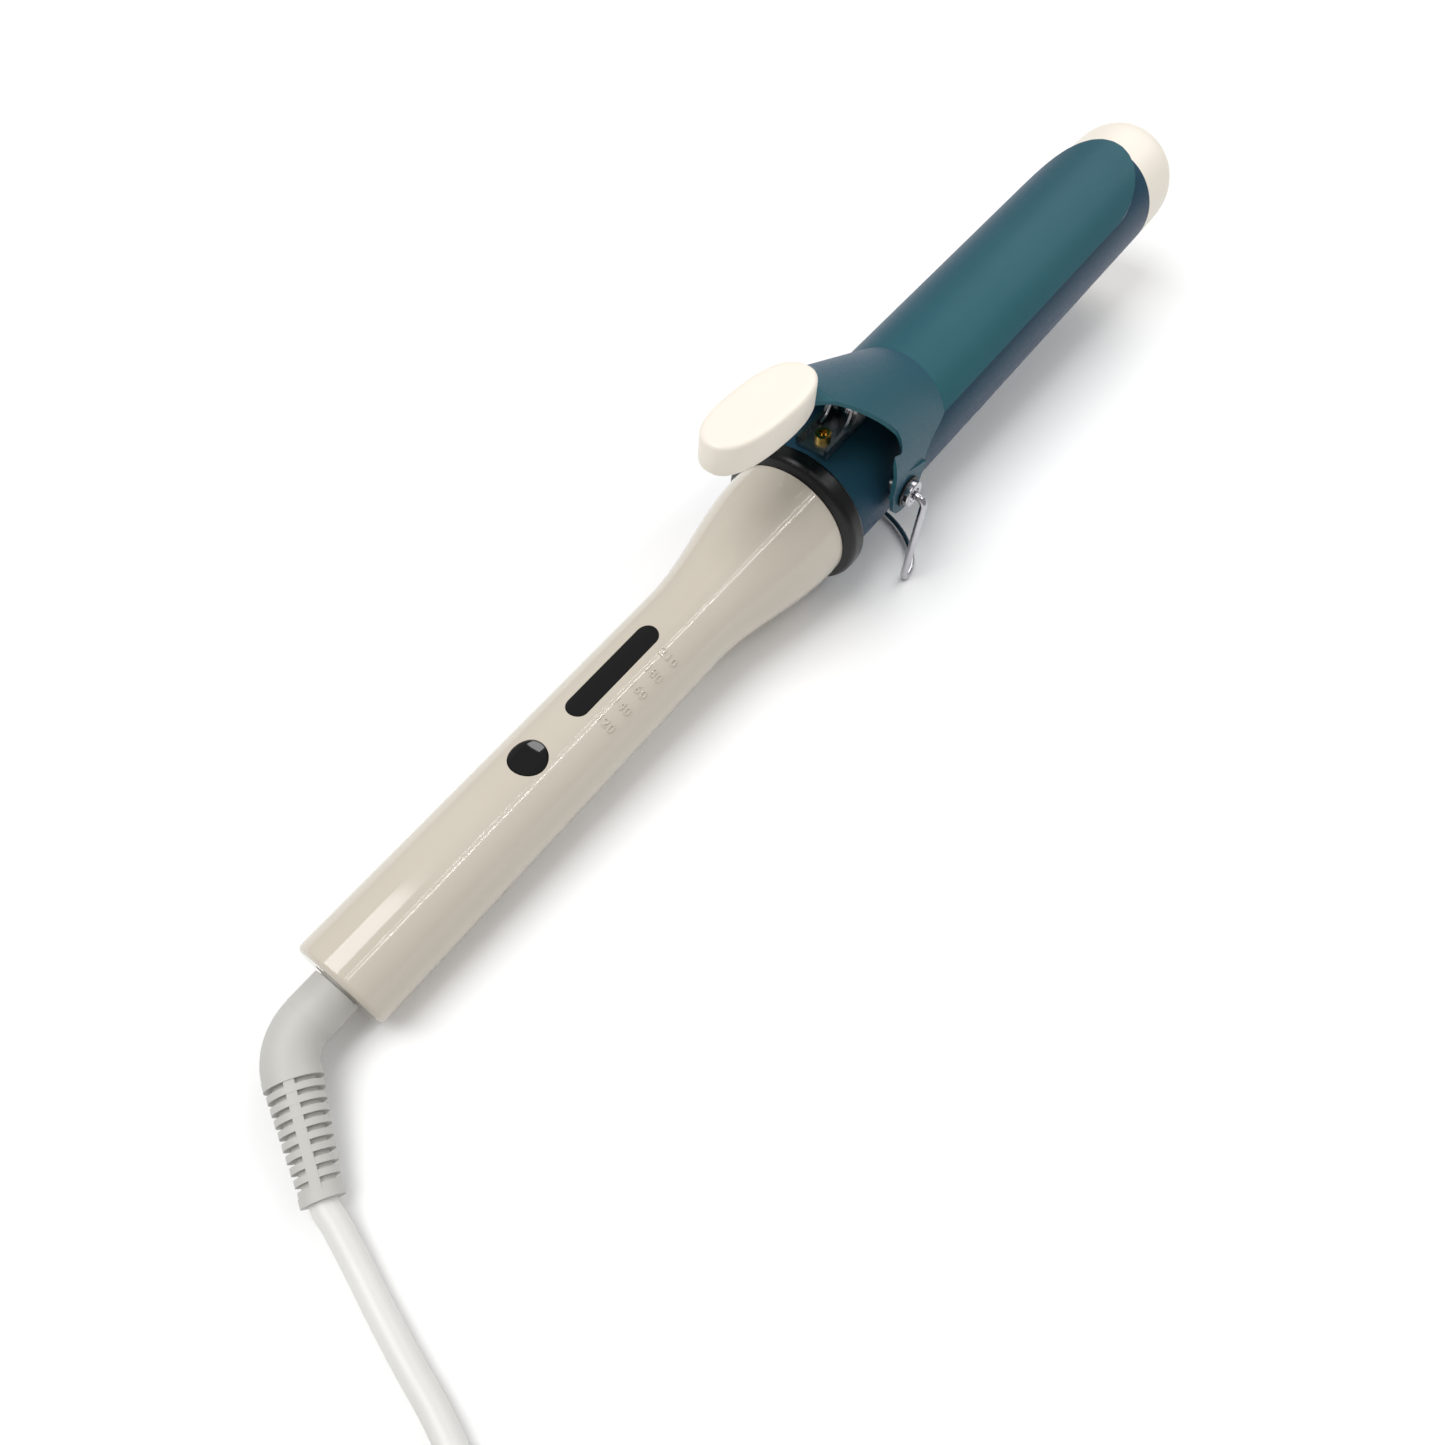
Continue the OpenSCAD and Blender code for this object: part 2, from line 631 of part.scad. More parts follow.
module clamp_shell() {
  crease_lean = 19;
  color([0.21, 0.34, 0.37]) placed() difference() {
    union() {
      // spoon
      intersection() {
        along_x(crease_x - 12) rotate([0, 0, 180 - spoon_half_angle])
          rotate_extrude(angle = 2 * spoon_half_angle) translate([clamp_in, 0])
            square([clamp_sheet, barrel_x1 - crease_x + 14]);
        linear_extrude(height = 3 * barrel_r) spoon_outline();
        beyond_crease(crease_lean, 1);
      }
      // hood
      intersection() {
        difference() {
          hood_cone(0);
          hood_cone(clamp_sheet);
        }
        beyond_crease(crease_lean, -1);
        behind_corner(1);
        linear_extrude(height = 6 * barrel_r) tongue_outline();
        rotate([90, 0, 0]) translate([0, 0, -2 * barrel_r]) linear_extrude(height = 4 * barrel_r) hood_side();
      }
      // lever
      intersection() {
        lever_tube(lever_tube_r - clamp_sheet, lever_tube_r);
        behind_corner(-1);
        translate([0, 0, barrel_r]) linear_extrude(height = 4 * barrel_r) tongue_outline();
      }
      // ears
      for (s = [-1, 1]) rotate([90, 0, 0]) translate([0, 0, s > 0 ? ear_in : -ear_out])
        linear_extrude(height = clamp_sheet) ear_outline();
    }
    for (s = [-1, 1]) along_y(s, pivot_x, pivot_z) cylinder(h = 3 * barrel_r, r = stud_r + running);
    for (x = rest_screw_x) lever_at(x) translate([0, 0, -5]) cylinder(h = 10, r = screw_r + fit);
  }
}

// Half space on one side of the leaning plane of the crease
module beyond_crease(lean, side) {
  translate([crease_x - side * 0.1, 0, clamp_r]) rotate([0, lean, 0])
    translate([side > 0 ? 0 : -2 * barrel_len, -2 * barrel_r, -4 * barrel_r])
      cube([2 * barrel_len, 4 * barrel_r, 8 * barrel_r]);
}

// Half space on one side of the plane that halves the corner of hood and lever
module behind_corner(side) {
  translate([corner_x - side * 0.05, 0, corner_z]) rotate([0, (hood_slope + rest_slope) / 2, 0])
    translate([side > 0 ? 0 : -2 * barrel_len, -2 * barrel_r, -4 * barrel_r])
      cube([2 * barrel_len, 4 * barrel_r, 8 * barrel_r]);
}

// Straight tube whose top is the lever under the thumb rest
module lever_tube(r_in, r_out) {
  lever_at(corner_x + 5) translate([0, 0, -r_out]) rotate([0, -90, 0]) difference() {
    cylinder(h = rest_len + 10, r = r_out);
    translate([0, 0, -1]) cylinder(h = rest_len + 12, r = r_in);
  }
}

// A point on top of the lever, with Z square to it
module lever_at(x) {
  translate([x, 0, corner_z + (corner_x - x) * tan(rest_slope)]) rotate([0, rest_slope, 0]) children();
}

// Outline of the hood and lever from above
module tongue_outline() {
  end_x = rest_x - rest_len / 2 + 5;
  half = concat([[end_x, lever_half_w], [corner_x - 5, lever_half_w], [shoulder_x - 0.4, shoulder_half_w - 0.2]],
    arc(shoulder_x - 2.5, shoulder_half_w + 0.8, 2.5, -10, 90, 4),
    [[pivot_x - ear_r - 1.4, ear_in], [pivot_x - ear_r - 1.4, ear_out + 4], [crease_x + 40, ear_out + 4]]);
  polygon(concat(half, [for (i = [len(half) - 1:-1:0]) [half[i].x, -half[i].y]]));
}

// Outline of the hood from the side: all above the spoon's edge, with a round notch by the ear
edge_z = clamp_r * cos(spoon_half_angle);
module hood_side() {
  difference() {
    translate([rest_x - rest_len, notch_z]) square([crease_x - rest_x + rest_len + 20, 5 * barrel_r]);
    translate([notch_x, edge_z - notch_r]) circle(r = notch_r);
    translate([notch_x, 0]) square([2 * barrel_r, edge_z]);
  }
}

// Height of the middle line of the hood's cone
function hood_mid_z(x) = clamp_r - hood_r0 * cos(hood_tilt)
  + (crease_x - hood_r0 * sin(hood_tilt) - x) * tan(hood_tilt);
module ear_outline() {
  front_x = pivot_x - ear_r;
  back_x = notch_x - notch_r + 0.4;
  difference() {
    union() {
      translate([pivot_x, pivot_z]) circle(r = ear_r);
      polygon([[front_x, pivot_z], [front_x - 1, hood_mid_z(front_x)], [front_x + 1, hood_mid_z(front_x) + 2],
        [back_x, hood_mid_z(back_x) + 2], [back_x, notch_z], [pivot_x + ear_r, pivot_z - 2], [pivot_x, pivot_z]]);
    }
    translate([notch_x, edge_z - notch_r]) circle(r = notch_r);
  }
}

module thumb_rest() {
  power = 2.45;
  body = [for (i = [0:71]) let (a = 5 * i, c = cos(a), s = sin(a))
    [rest_len / 2 * sign(c) * pow(abs(c), 2 / power), rest_w / 2 * sign(s) * pow(abs(s), 2 / power)]];
  color([0.93, 0.9, 0.85]) placed() difference() {
    translate([rest_x, 0, rest_z]) rotate([0, rest_slope, 0]) translate([0, 0, -rest_th])
      linear_extrude(height = rest_th) polygon(body);
    // slot that takes the lever
    intersection() {
      translate([rest_x - rest_len / 2 + 4.8, -lever_half_w - fit, 0]) cube([rest_len, 2 * (lever_half_w + fit), 6 * barrel_r]);
      lever_tube(lever_tube_r - 12, lever_tube_r + fit);
    }
    for (x = rest_screw_x) lever_at(x) translate([0, 0, -4]) cylinder(h = 8.5, r = screw_r);
  }
}
rest_screw_x = [rest_x - 6, rest_x + 8];

module rest_screws() {
  color("silver") placed() for (x = rest_screw_x) lever_at(x) translate([0, 0, -clamp_sheet])
    rotate([180, 0, 0]) screw(4.2, screw_r, screw_head_r, 1);
}

// ---------------------------------------------------------------- pivot and spring

stud_r = 2.2;
stud_head_r = 3;
washer_th = 0.5;
nut_len = 1.9;
nut_r = 3.9;
washer_y = ear_out + free_gap;
nut_y = washer_y + washer_th;
leg_y = ear_out + leg_out;
stud_in_y = sqrt(pow(barrel_in, 2) - pow(pivot_z + stud_head_r, 2)) - 0.3;

module pivot_studs() {
  color("silver") placed() for (s = [-1, 1]) along_y(s, pivot_x, pivot_z) difference() {
    union() {
      translate([0, 0, stud_in_y - 1.2]) cylinder(h = 1.2, r = stud_head_r);
      translate([0, 0, barrel_r + 0.02]) cylinder(h = ear_gap - free_gap - 0.02, r = stud_head_r);
      translate([0, 0, stud_in_y - 0.1]) cylinder(h = nut_y + nut_len - stud_in_y - 0.3, r = stud_r);
    }
    translate([0, 0, nut_y - 1.4]) cylinder(h = nut_len + 4, r = wire_r + running);
  }
}

module pivot_washers() {
  color([0.15, 0.15, 0.17]) placed() for (s = [-1, 1]) along_y(s, pivot_x, pivot_z)
    translate([0, 0, washer_y]) difference() {
      cylinder(h = washer_th, r = nut_r + 0.8);
      translate([0, 0, -1]) cylinder(h = 3, r = stud_r + running);
    }
}

module pivot_nuts() {
  edge = 0.5;
  color("silver") placed() for (s = [-1, 1]) along_y(s, pivot_x, pivot_z)
    rotate_extrude() polygon(concat(
      [[stud_r + 0.02, nut_y + 0.02], [nut_r, nut_y + 0.02]],
      arc(nut_r - edge, nut_y + nut_len - edge, edge, 0, 90, 4),
      [[stud_r + 0.02, nut_y + nut_len]]));
}

bracket_x0 = barrel_x0 + 3;
bracket_x1 = pivot_x + 5;
bracket_half_w = 5.1;
bracket_screw_x = barrel_x0 + 8.7;
bracket_th = 1;
spring_x = pivot_x + 1;
spring_z = barrel_r + 5.2;
pin_hole_r = 1.05;

module spring_bracket() {
  cheek_r = 3.2;
  inner = bracket_half_w - bracket_th;
  color([0.55, 0.56, 0.58]) placed() difference() {
    union() {
      translate([bracket_x0, -bracket_half_w, barrel_r + 0.02])
        cube([bracket_x1 - bracket_x0, 2 * bracket_half_w, bracket_th]);
      for (s = [-1, 1]) {
        translate([bracket_x0, s > 0 ? inner : -bracket_half_w, barrel_r + 0.02])
          cube([bracket_x1 - bracket_x0, bracket_th, 3.2]);
        translate([spring_x - cheek_r, s > 0 ? inner : -bracket_half_w, barrel_r + 1])
          cube([2 * cheek_r, bracket_th, spring_z - barrel_r - 1]);
        along_y(s, spring_x, spring_z) translate([0, 0, inner]) cylinder(h = bracket_th, r = cheek_r);
      }
    }
    translate([bracket_screw_x, 0, 0]) cylinder(h = 2 * barrel_r, r = screw_r + fit);
    along_y(1, spring_x, spring_z) translate([0, 0, -barrel_r]) cylinder(h = 2 * barrel_r, r = pin_hole_r);
  }
}

module bracket_screw() {
  color([0.8, 0.65, 0.3]) placed() translate([bracket_screw_x, 0, barrel_r + bracket_th + 0.04])
    screw(5, screw_r, 2.3, 1.6);
}

module spring_pin() {
  color("silver") placed() along_y(1, spring_x, spring_z)
    translate([0, 0, -bracket_half_w - 1]) cylinder(h = 2 * bracket_half_w + 2, r = pin_hole_r - 0.03);
}

coil_out = 3;
coil_in = 1.9;
spring_wire_r = 0.5;
module clamp_spring() {
  inner = bracket_half_w - bracket_th - 0.15;
  color("silver") placed() {
    for (s = [-1, 1]) along_y(s, spring_x, spring_z) translate([0, 0, 0.9]) difference() {
      cylinder(h = inner - 0.9, r = coil_out);
      translate([0, 0, -1]) cylinder(h = inner + 2, r = coil_in);
    }
    // bridge between the two coils, resting under the hood
    for (s = [-1, 1]) translate([spring_x - 2, s * 1.4, spring_z + 1.5]) rotate([0, -38, 0])
      cylinder(h = spring_leg, r = spring_wire_r);
    translate([spring_x - 2 - (spring_leg - 0.5) * sin(38), -1.4, spring_z + 1.5 + (spring_leg - 0.5) * cos(38)])
      rotate([-90, 0, 0]) cylinder(h = 2.8, r = spring_wire_r);
    // outer ends, resting on the bracket
    for (s = [-1, 1]) translate([spring_x - 1, s * (inner - 0.6), spring_z - 2.2]) rotate([0, -100, 0])
      cylinder(h = 7, r = spring_wire_r);
  }
}
spring_leg = 16;

// ---------------------------------------------------------------- stand

// From the pivot: forward of the leg, across, and up along the leg. The arch lies flat on the table
leg_bend = 2.6;
foot_bend = 2.2;
arch_rise = leg_lean - tilt;
bend_l = foot_bend * tan((90 + arch_rise) / 2);
arch_turn = 1.7;
arch_steps = 14;

// Half of the wire, from its end in a stud to the crown of the arch
stand_half = concat(
  [[0, nut_y - 1, 0]],
  [for (q = arc(leg_y - leg_bend, -leg_bend, leg_bend, 90, 0, 7)) [0, q.x, q.y]],
  [for (q = arc(foot_bend, bend_l - leg_len, foot_bend, 180, 270 + arch_rise, 7)) [q.x, leg_y, q.y]],
  [for (i = [1:arch_steps]) let (a = 90 * i / arch_steps,
      c = bend_l + (arch_reach - bend_l) * pow(sin(a), 2 / arch_turn))
    [c * cos(arch_rise), leg_y * cos(a), c * sin(arch_rise) - leg_len]]);
module stand_wire() {
  far_half = [for (i = [len(stand_half) - 2:-1:0]) let (q = stand_half[i]) [q.x, -q.y, q.z]];
  color("silver") placed() translate([pivot_x, 0, pivot_z]) rotate([0, leg_lean, 0])
    tube(concat(stand_half, far_half), wire_r, 12);
}

// ---------------------------------------------------------------- cord

// From the swivel into the sleeve, with the elbow's own turn and dip
module at_elbow_end() {
  translate([-sleeve_gap - sleeve_run, 0, 0]) rotate([elbow_dip, 0, 0])
    translate([0, -elbow_r, 0]) rotate([0, 0, elbow_turn]) translate([0, elbow_r, 0])
      rotate([0, -90, 0]) children();
}

module cord_sleeve() {
  slot_w = ribbed_len * 0.86 / sleeve_slots;
  taper = 2;
  color([0.72, 0.72, 0.7]) placed() difference() {
    union() {
      ring_x_solid(-sleeve_gap - sleeve_run, -sleeve_gap, sleeve_r, 0);
      rotate([0, 90, 0]) rotate_extrude() polygon([[0, -sleeve_gap - 1], [journal_r, -sleeve_gap - 1],
        [journal_r, clip_x - running], [journal_r - 0.85, clip_x - running], [journal_r - 0.85, clip_x + 1 + running],
        [journal_r, clip_x + 1 + running], [journal_r, 8.9], [journal_r - 1.62, 8.9], [journal_r - 1.62, 12.1],
        [journal_r, 12.1], [journal_r, 14.9], [journal_r - 1.62, 14.9], [journal_r - 1.62, 18.1],
        [journal_r, 18.1], [journal_r, carrier_x1 - 2], [0, carrier_x1 - 2]]);
      translate([-sleeve_gap - sleeve_run, 0, 0]) rotate([elbow_dip, 0, 0])
        translate([0, -elbow_r, 0]) rotate([0, 0, 88]) rotate_extrude(angle = elbow_turn + 4)
          translate([elbow_r, 0]) circle(r = sleeve_r - 0.1);
      at_elbow_end() {
        rotate_extrude() polygon(concat([[0, 0], [sleeve_r, 0], [sleeve_r, 2]],
          [for (i = [0:sleeve_slots - 1]) let (z = 2 + i * slot_w, r = sleeve_r - taper * (z + slot_w) / ribbed_len,
            core = max(r - 1.3, cord_r + 0.5))
            each [[core, z], [core, z + slot_w * 0.42], [r, z + slot_w * 0.42], [r, z + slot_w]]],
          [[sleeve_r - taper + 0.3, ribbed_len - 2], [sleeve_r - taper + 0.3, ribbed_len], [0, ribbed_len]]));
        // spine along the top and the bottom
        intersection() {
          cylinder(h = ribbed_len - 0.5, r1 = sleeve_r - 0.12, r2 = sleeve_r - taper + 0.12);
          translate([-2 * sleeve_r, -1.1, 1]) cube([4 * sleeve_r, 2.2, ribbed_len - 2]);
        }
      }
    }
    at_elbow_end() translate([0, 0, ribbed_len - 6]) cylinder(h = 10, r = cord_r + 0.02);
  }
}

// Where the cord leaves the sleeve, in the object's own frame
function tip_up(p) = [p.x * cos(tilt) - p.z * sin(tilt) - centre_x, p.y, p.x * sin(tilt) + p.z * cos(tilt) + lift];
function dip(p) = [p.x, p.y * cos(elbow_dip) - p.z * sin(elbow_dip), p.y * sin(elbow_dip) + p.z * cos(elbow_dip)];
function sleeve_point(s) = tip_up([-sleeve_gap - sleeve_run, 0, 0] + dip([
  -elbow_r * sin(elbow_turn) - s * cos(elbow_turn),
  -elbow_r * (1 - cos(elbow_turn)) - s * sin(elbow_turn), 0]));

module cord() {
  p = curve(concat([sleeve_point(ribbed_len - 5.5), sleeve_point(ribbed_len)], CORD_ROUTE), 3);
  color([0.93, 0.92, 0.9]) difference() {
    union() {
      tube(p, cord_r, 10);
      tube(curve(TAIL_ROUTE, 3), cord_r, 10);
    }
    wound_ring(0.02);
  }
}

module wound_ring(spare) {
  corner = 2.6;
  lo = coil_mid_r - coil_band / 2 - spare;
  hi = coil_mid_r + coil_band / 2 + spare;
  top = coil_band + spare;
  translate(coil_at) rotate_extrude($fn = 96) polygon(concat(
    arc(lo + corner, corner, corner, 180, 270, 4), arc(hi - corner, corner, corner, 270, 360, 4),
    arc(hi - corner, top - corner, corner, 0, 90, 4), arc(lo + corner, top - corner, corner, 90, 180, 4)));
}

module cord_coil() {
  color([0.93, 0.92, 0.9]) wound_ring(0);
}

tie_w = 5;
tie_th = 1;
module coil_tie() {
  half = coil_band / 2 + 0.2;
  color([0.15, 0.15, 0.16]) translate(coil_at) rotate([0, 0, 250])
    translate([coil_mid_r, 0, coil_band / 2 + tie_th]) rotate([90, 0, 0])
      translate([0, 0, -tie_w / 2]) linear_extrude(height = tie_w) difference() {
        translate([-half - tie_th, -half]) square([2 * (half + tie_th), 2 * half + tie_th]);
        translate([-half, -half - 1]) square([2 * half, 2 * half + 1]);
      }
}

module plug_frame() {
  translate(plug_at) rotate([0, 0, plug_turn]) rotate([0, 90, 0]) children();
}

// Flat two-pin plug: local Z runs from the cord to the pins, local Y across the pins
module plug_body() {
  neck = 9;
  color([0.9, 0.89, 0.87]) plug_frame() difference() {
    union() {
      translate([0, 0, 0]) cylinder(h = neck + 1, r1 = cord_r + 1.4, r2 = plug_h / 2 - 0.6);
      intersection() {
        translate([0, 0, neck]) rotate([0, 90, 0]) translate([0, 0, -plug_h / 2])
          linear_extrude(height = plug_h) polygon(concat(
            [[-plug_len + neck, -plug_w / 2 + 1.5], [0, -9]], [[0, 9], [-plug_len + neck, plug_w / 2 - 1.5]]));
        translate([0, 0, neck - 1]) cylinder(h = plug_len, r = plug_w / 2);
      }
    }
    translate([0, 0, -1]) cylinder(h = 5, r = cord_r + fit);
    for (s = [-1, 1]) translate([0, s * pin_gap / 2, plug_len - 8]) cylinder(h = 20, r = pin_r - 0.49);
  }
}

module plug_pins() {
  color("silver") plug_frame() for (s = [-1, 1]) translate([0, s * pin_gap / 2, plug_len - 8]) {
    cylinder(h = 8, r = pin_r - 0.5);
    translate([0, 0, 8]) cylinder(h = pin_len - 0.8, r = pin_r);
    translate([0, 0, 8 + pin_len - 0.8]) cylinder(h = 0.8, r1 = pin_r, r2 = pin_r - 0.6);
  }
}

handle_shell();
power_button();
display_window();
circuit_board();
board_cradle();
board_screws();
button_switch();
indicator_leds();
light_guide();
film_capacitor();
power_triac();
control_chip();
board_fuse();
swivel_bush();
swivel_clip();
slip_rings();
brush_block();
contact_brushes();
guard_ring();
neck_screw();
barrel_tube();
barrel_screws();
wire_disc();
heater_plate();
heater_electrodes();
heat_spreaders();
heater_film();
thermal_fuse();
temperature_probe();
heater_leads();
tip_cap();
tip_disc();
clamp_shell();
thumb_rest();
rest_screws();
pivot_studs();
pivot_washers();
pivot_nuts();
spring_bracket();
bracket_screw();
spring_pin();
clamp_spring();
stand_wire();
cord_sleeve();
cord();
cord_coil();
coil_tie();
plug_body();
plug_pins();
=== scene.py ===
# %% [markdown]
# # A curling iron in Blender
# The iron is already designed as solids. This lesson loads them and gives them their looks:
# finishes, rounded edges, wire, springs and a mains cord that lies as a real one does.

# %% Load the model
import bpy
import json
import math
from mathutils import Matrix, Vector


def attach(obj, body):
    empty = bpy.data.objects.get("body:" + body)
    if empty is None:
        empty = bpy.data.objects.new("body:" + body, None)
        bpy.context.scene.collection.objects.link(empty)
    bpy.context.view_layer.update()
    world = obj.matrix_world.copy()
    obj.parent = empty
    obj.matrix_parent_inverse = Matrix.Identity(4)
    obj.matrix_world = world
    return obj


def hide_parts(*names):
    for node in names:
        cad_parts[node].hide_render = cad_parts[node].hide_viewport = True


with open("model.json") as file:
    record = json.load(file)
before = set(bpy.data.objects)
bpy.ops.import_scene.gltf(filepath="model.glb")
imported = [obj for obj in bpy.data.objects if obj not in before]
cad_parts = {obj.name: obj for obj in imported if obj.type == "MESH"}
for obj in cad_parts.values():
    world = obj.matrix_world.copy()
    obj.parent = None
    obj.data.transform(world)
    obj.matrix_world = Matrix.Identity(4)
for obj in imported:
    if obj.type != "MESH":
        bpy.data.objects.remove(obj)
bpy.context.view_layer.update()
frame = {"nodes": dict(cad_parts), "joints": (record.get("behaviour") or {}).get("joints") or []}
joints = {j["name"]: j for j in frame["joints"]}

# %% [markdown]
# ## The iron's own axes
# The iron stands tipped up on its wire legs. It is easier to think along its axis, in millimetres
# from the rear face of the handle. The cord turns on that axis, so its joint says where it lies.

# %% From the iron's axes to the room
MM = 0.001
turn_axis = Vector(joints["cord_swivel"]["axis"])
rear_face = Vector(joints["cord_swivel"]["pos_m"])
tip_up = math.atan2(turn_axis.z, turn_axis.x)
iron_to_room = Matrix.Translation(rear_face) @ Matrix.Rotation(-tip_up, 4, "Y") @ Matrix.Scale(MM, 4)


def at_iron(x, y, z):
    """A point given in the iron's own axes, in millimetres, as a point in the room, in metres."""
    return iron_to_room @ Vector((x, y, z))


room_to_iron = iron_to_room.inverted()
pivot = room_to_iron @ Vector(joints["clamp_open"]["pos_m"])
print("tipped up by", round(math.degrees(tip_up), 2), "degrees; pivot at", [round(v, 1) for v in pivot])

# %% [markdown]
# ## Camera
# A camera close above the handle sees the iron run away from it, so the grip looks large and the
# tip small. The three directions are what the camera has on its right, below it and in front.

# %% Place the camera
LENS_MM = 28.33
eye = at_iron(-10.8, -120.3, 245.5)
right = Vector((0.60884912, -0.79316162, -0.01404965))
down = Vector((-0.68117284, -0.51364277, -0.52170361))
ahead = Vector((0.40657878, 0.32720903, -0.85301111))
tilt_only = Matrix.Rotation(-tip_up, 3, "Y")
facing = Matrix([tilt_only @ right, tilt_only @ -down, tilt_only @ -ahead]).transposed()
camera_data = bpy.data.cameras.new("camera")
camera_data.lens = LENS_MM
camera_data.sensor_width = 36
camera_data.clip_start = 0.01
camera = bpy.data.objects.new("camera", camera_data)
camera.matrix_world = Matrix.Translation(eye) @ facing.to_4x4()
bpy.context.scene.collection.objects.link(camera)
bpy.context.scene.camera = camera
print("camera at", [round(v, 3) for v in eye])

# %% [markdown]
# ## Helpers for shapes
# A wire, a cord and a spring are all one round section carried along a line. A Blender curve does
# that with its bevel, and keeps the section round however the line turns.

# %% Wire along points
def round_wire(name, points, diameter, body, replaced, sides=5):
    """A curve of one open line through points in the room, with a round section."""
    data = bpy.data.curves.new(name, "CURVE")
    data.dimensions = "3D"
    data.bevel_depth = 1  # the real radius is set on every point, which keeps the curve's box right too
    data.bevel_resolution = sides
    data.use_fill_caps = True
    line = data.splines.new("POLY")
    line.points.add(len(points) - 1)
    for spot, p in zip(line.points, points):
        spot.co = (*p, 1)
        spot.radius = diameter / 2
    line.use_smooth = True
    piece = bpy.data.objects.new(name, data)
    bpy.context.scene.collection.objects.link(piece)
    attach(piece, body)
    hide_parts(*replaced)
    return piece


def smooth_line(points, steps):
    """Points along a smooth line that passes through the given ones."""
    ends = [points[0]] + list(points) + [points[-1]]
    out = []
    for a, b, c, d in zip(ends, ends[1:], ends[2:], ends[3:]):
        for i in range(steps):
            t = i / steps
            out.append(0.5 * (2 * b + (c - a) * t + (2 * a - 5 * b + 4 * c - d) * t * t
                              + (3 * b - a - 3 * c + d) * t ** 3))
    return out + [points[-1]]


def length_of(points):
    return sum((b - a).length for a, b in zip(points, points[1:]))


def mesh_piece(name, verts, faces, body, replaced, slot):
    """A mesh in the room, riding on a body."""
    mesh = bpy.data.meshes.new(name)
    mesh.from_pydata([tuple(v) for v in verts], [], faces)
    mesh.validate()
    mesh.shade_smooth()
    piece = bpy.data.objects.new(name, mesh)
    bpy.context.scene.collection.objects.link(piece)
    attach(piece, body)
    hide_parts(*replaced)
    return piece


def oval(share, half_long, half_wide, power):
    """A point a share of the way round an oval: power 2 is an ellipse, and more is squarer."""
    a = 2 * math.pi * share
    c, s = math.cos(a), math.sin(a)
    return (half_long * math.copysign(abs(c) ** (2 / power), c),
            half_wide * math.copysign(abs(s) ** (2 / power), s))


def skin(rings, around):
    """Faces between outlines that follow one another, each of the same number of points."""
    return [(k * around + i, k * around + (i + 1) % around, (k + 1) * around + (i + 1) % around,
             (k + 1) * around + i) for k in range(rings - 1) for i in range(around)]


# %% [markdown]
# ## Mains cord
# A curling iron has a round PVC cord, 6 mm thick and here 1.62 m long. It leaves the bent sleeve,
# sinks to the table and runs off to one side, where the spare length is wound into a coil under a
# tie. The winding is worked out turn by turn: each turn takes a place in the coil's section and
# moves over to the next place in the last part of the turn.

# %% Route of the cord
CORD_D = 6.0
SLEEVE_HEAD, ELBOW_R, ELBOW_TURN, ELBOW_DIP, RIBBED = 9.0, 12.0, 60.0, 10.0, 27.0
turn, dip = math.radians(ELBOW_TURN), math.radians(ELBOW_DIP)


def in_sleeve(s):
    """The middle of the sleeve, s millimetres past its elbow."""
    y = -ELBOW_R * (1 - math.cos(turn)) - s * math.sin(turn)
    x = -SLEEVE_HEAD - ELBOW_R * math.sin(turn) - s * math.cos(turn)
    return at_iron(x, y * math.cos(dip), y * math.sin(dip))


lead = [Vector(p) * MM for p in [(-222.5, -34.5, 4.3), (-225, -43, 3.2), (-228, -53, 3), (-231, -64, 3),
                                 (-233.8, -75, 3), (-237.8, -86, 3), (-243.5, -96.5, 3), (-251, -106.3, 3)]]
coil_middle = Vector((-290, -86, 0))
# radius and height of the cord's middle in each turn, and how much of a turn it runs there
places = [(42, 3, 1), (35.9, 3, 1), (29.8, 3, 1), (29.8, 9, 1), (35.9, 9, 1), (42, 9, 1), (42, 15, 0.375)]
STEPS_A_TURN = 48
START_ANGLE = -45
coil = []
for k, (r, z, turns) in enumerate(places):
    r_next, z_next, _ = places[min(k + 1, len(places) - 1)]
    for i in range(round(STEPS_A_TURN * turns)):
        share = i / STEPS_A_TURN
        late = max(0.0, (share - 0.7) / 0.3)
        ease = late * late * (3 - 2 * late)
        angle = math.radians(START_ANGLE) - 2 * math.pi * share
        radius = r + (r_next - r) * ease
        coil.append((coil_middle + Vector((radius * math.cos(angle), radius * math.sin(angle),
                                           z + (z_next - z) * ease))) * MM)
tail = [Vector((-332, y, z)) * MM for y, z in [(-86, 15), (-78, 14.9), (-70, 14.2), (-63, 12.2), (-55.5, 9.4),
                                               (-48.5, 7.4), (-43.5, 6.9), (-40.5, 6.9)]]
start = [in_sleeve(2), in_sleeve(RIBBED * 0.5), in_sleeve(RIBBED)]
cord_line = smooth_line(start + lead, 5) + coil + smooth_line(tail, 5)

cord = round_wire("mains_cord", cord_line, CORD_D * MM, "swivel", ("cord", "cord_coil"))

# %% [markdown]
# ## Tie
# A bent strip of soft plastic holds the turns together. It follows the outline of the coil's
# section, so it is made as a loop of points that is given a width and a thickness.

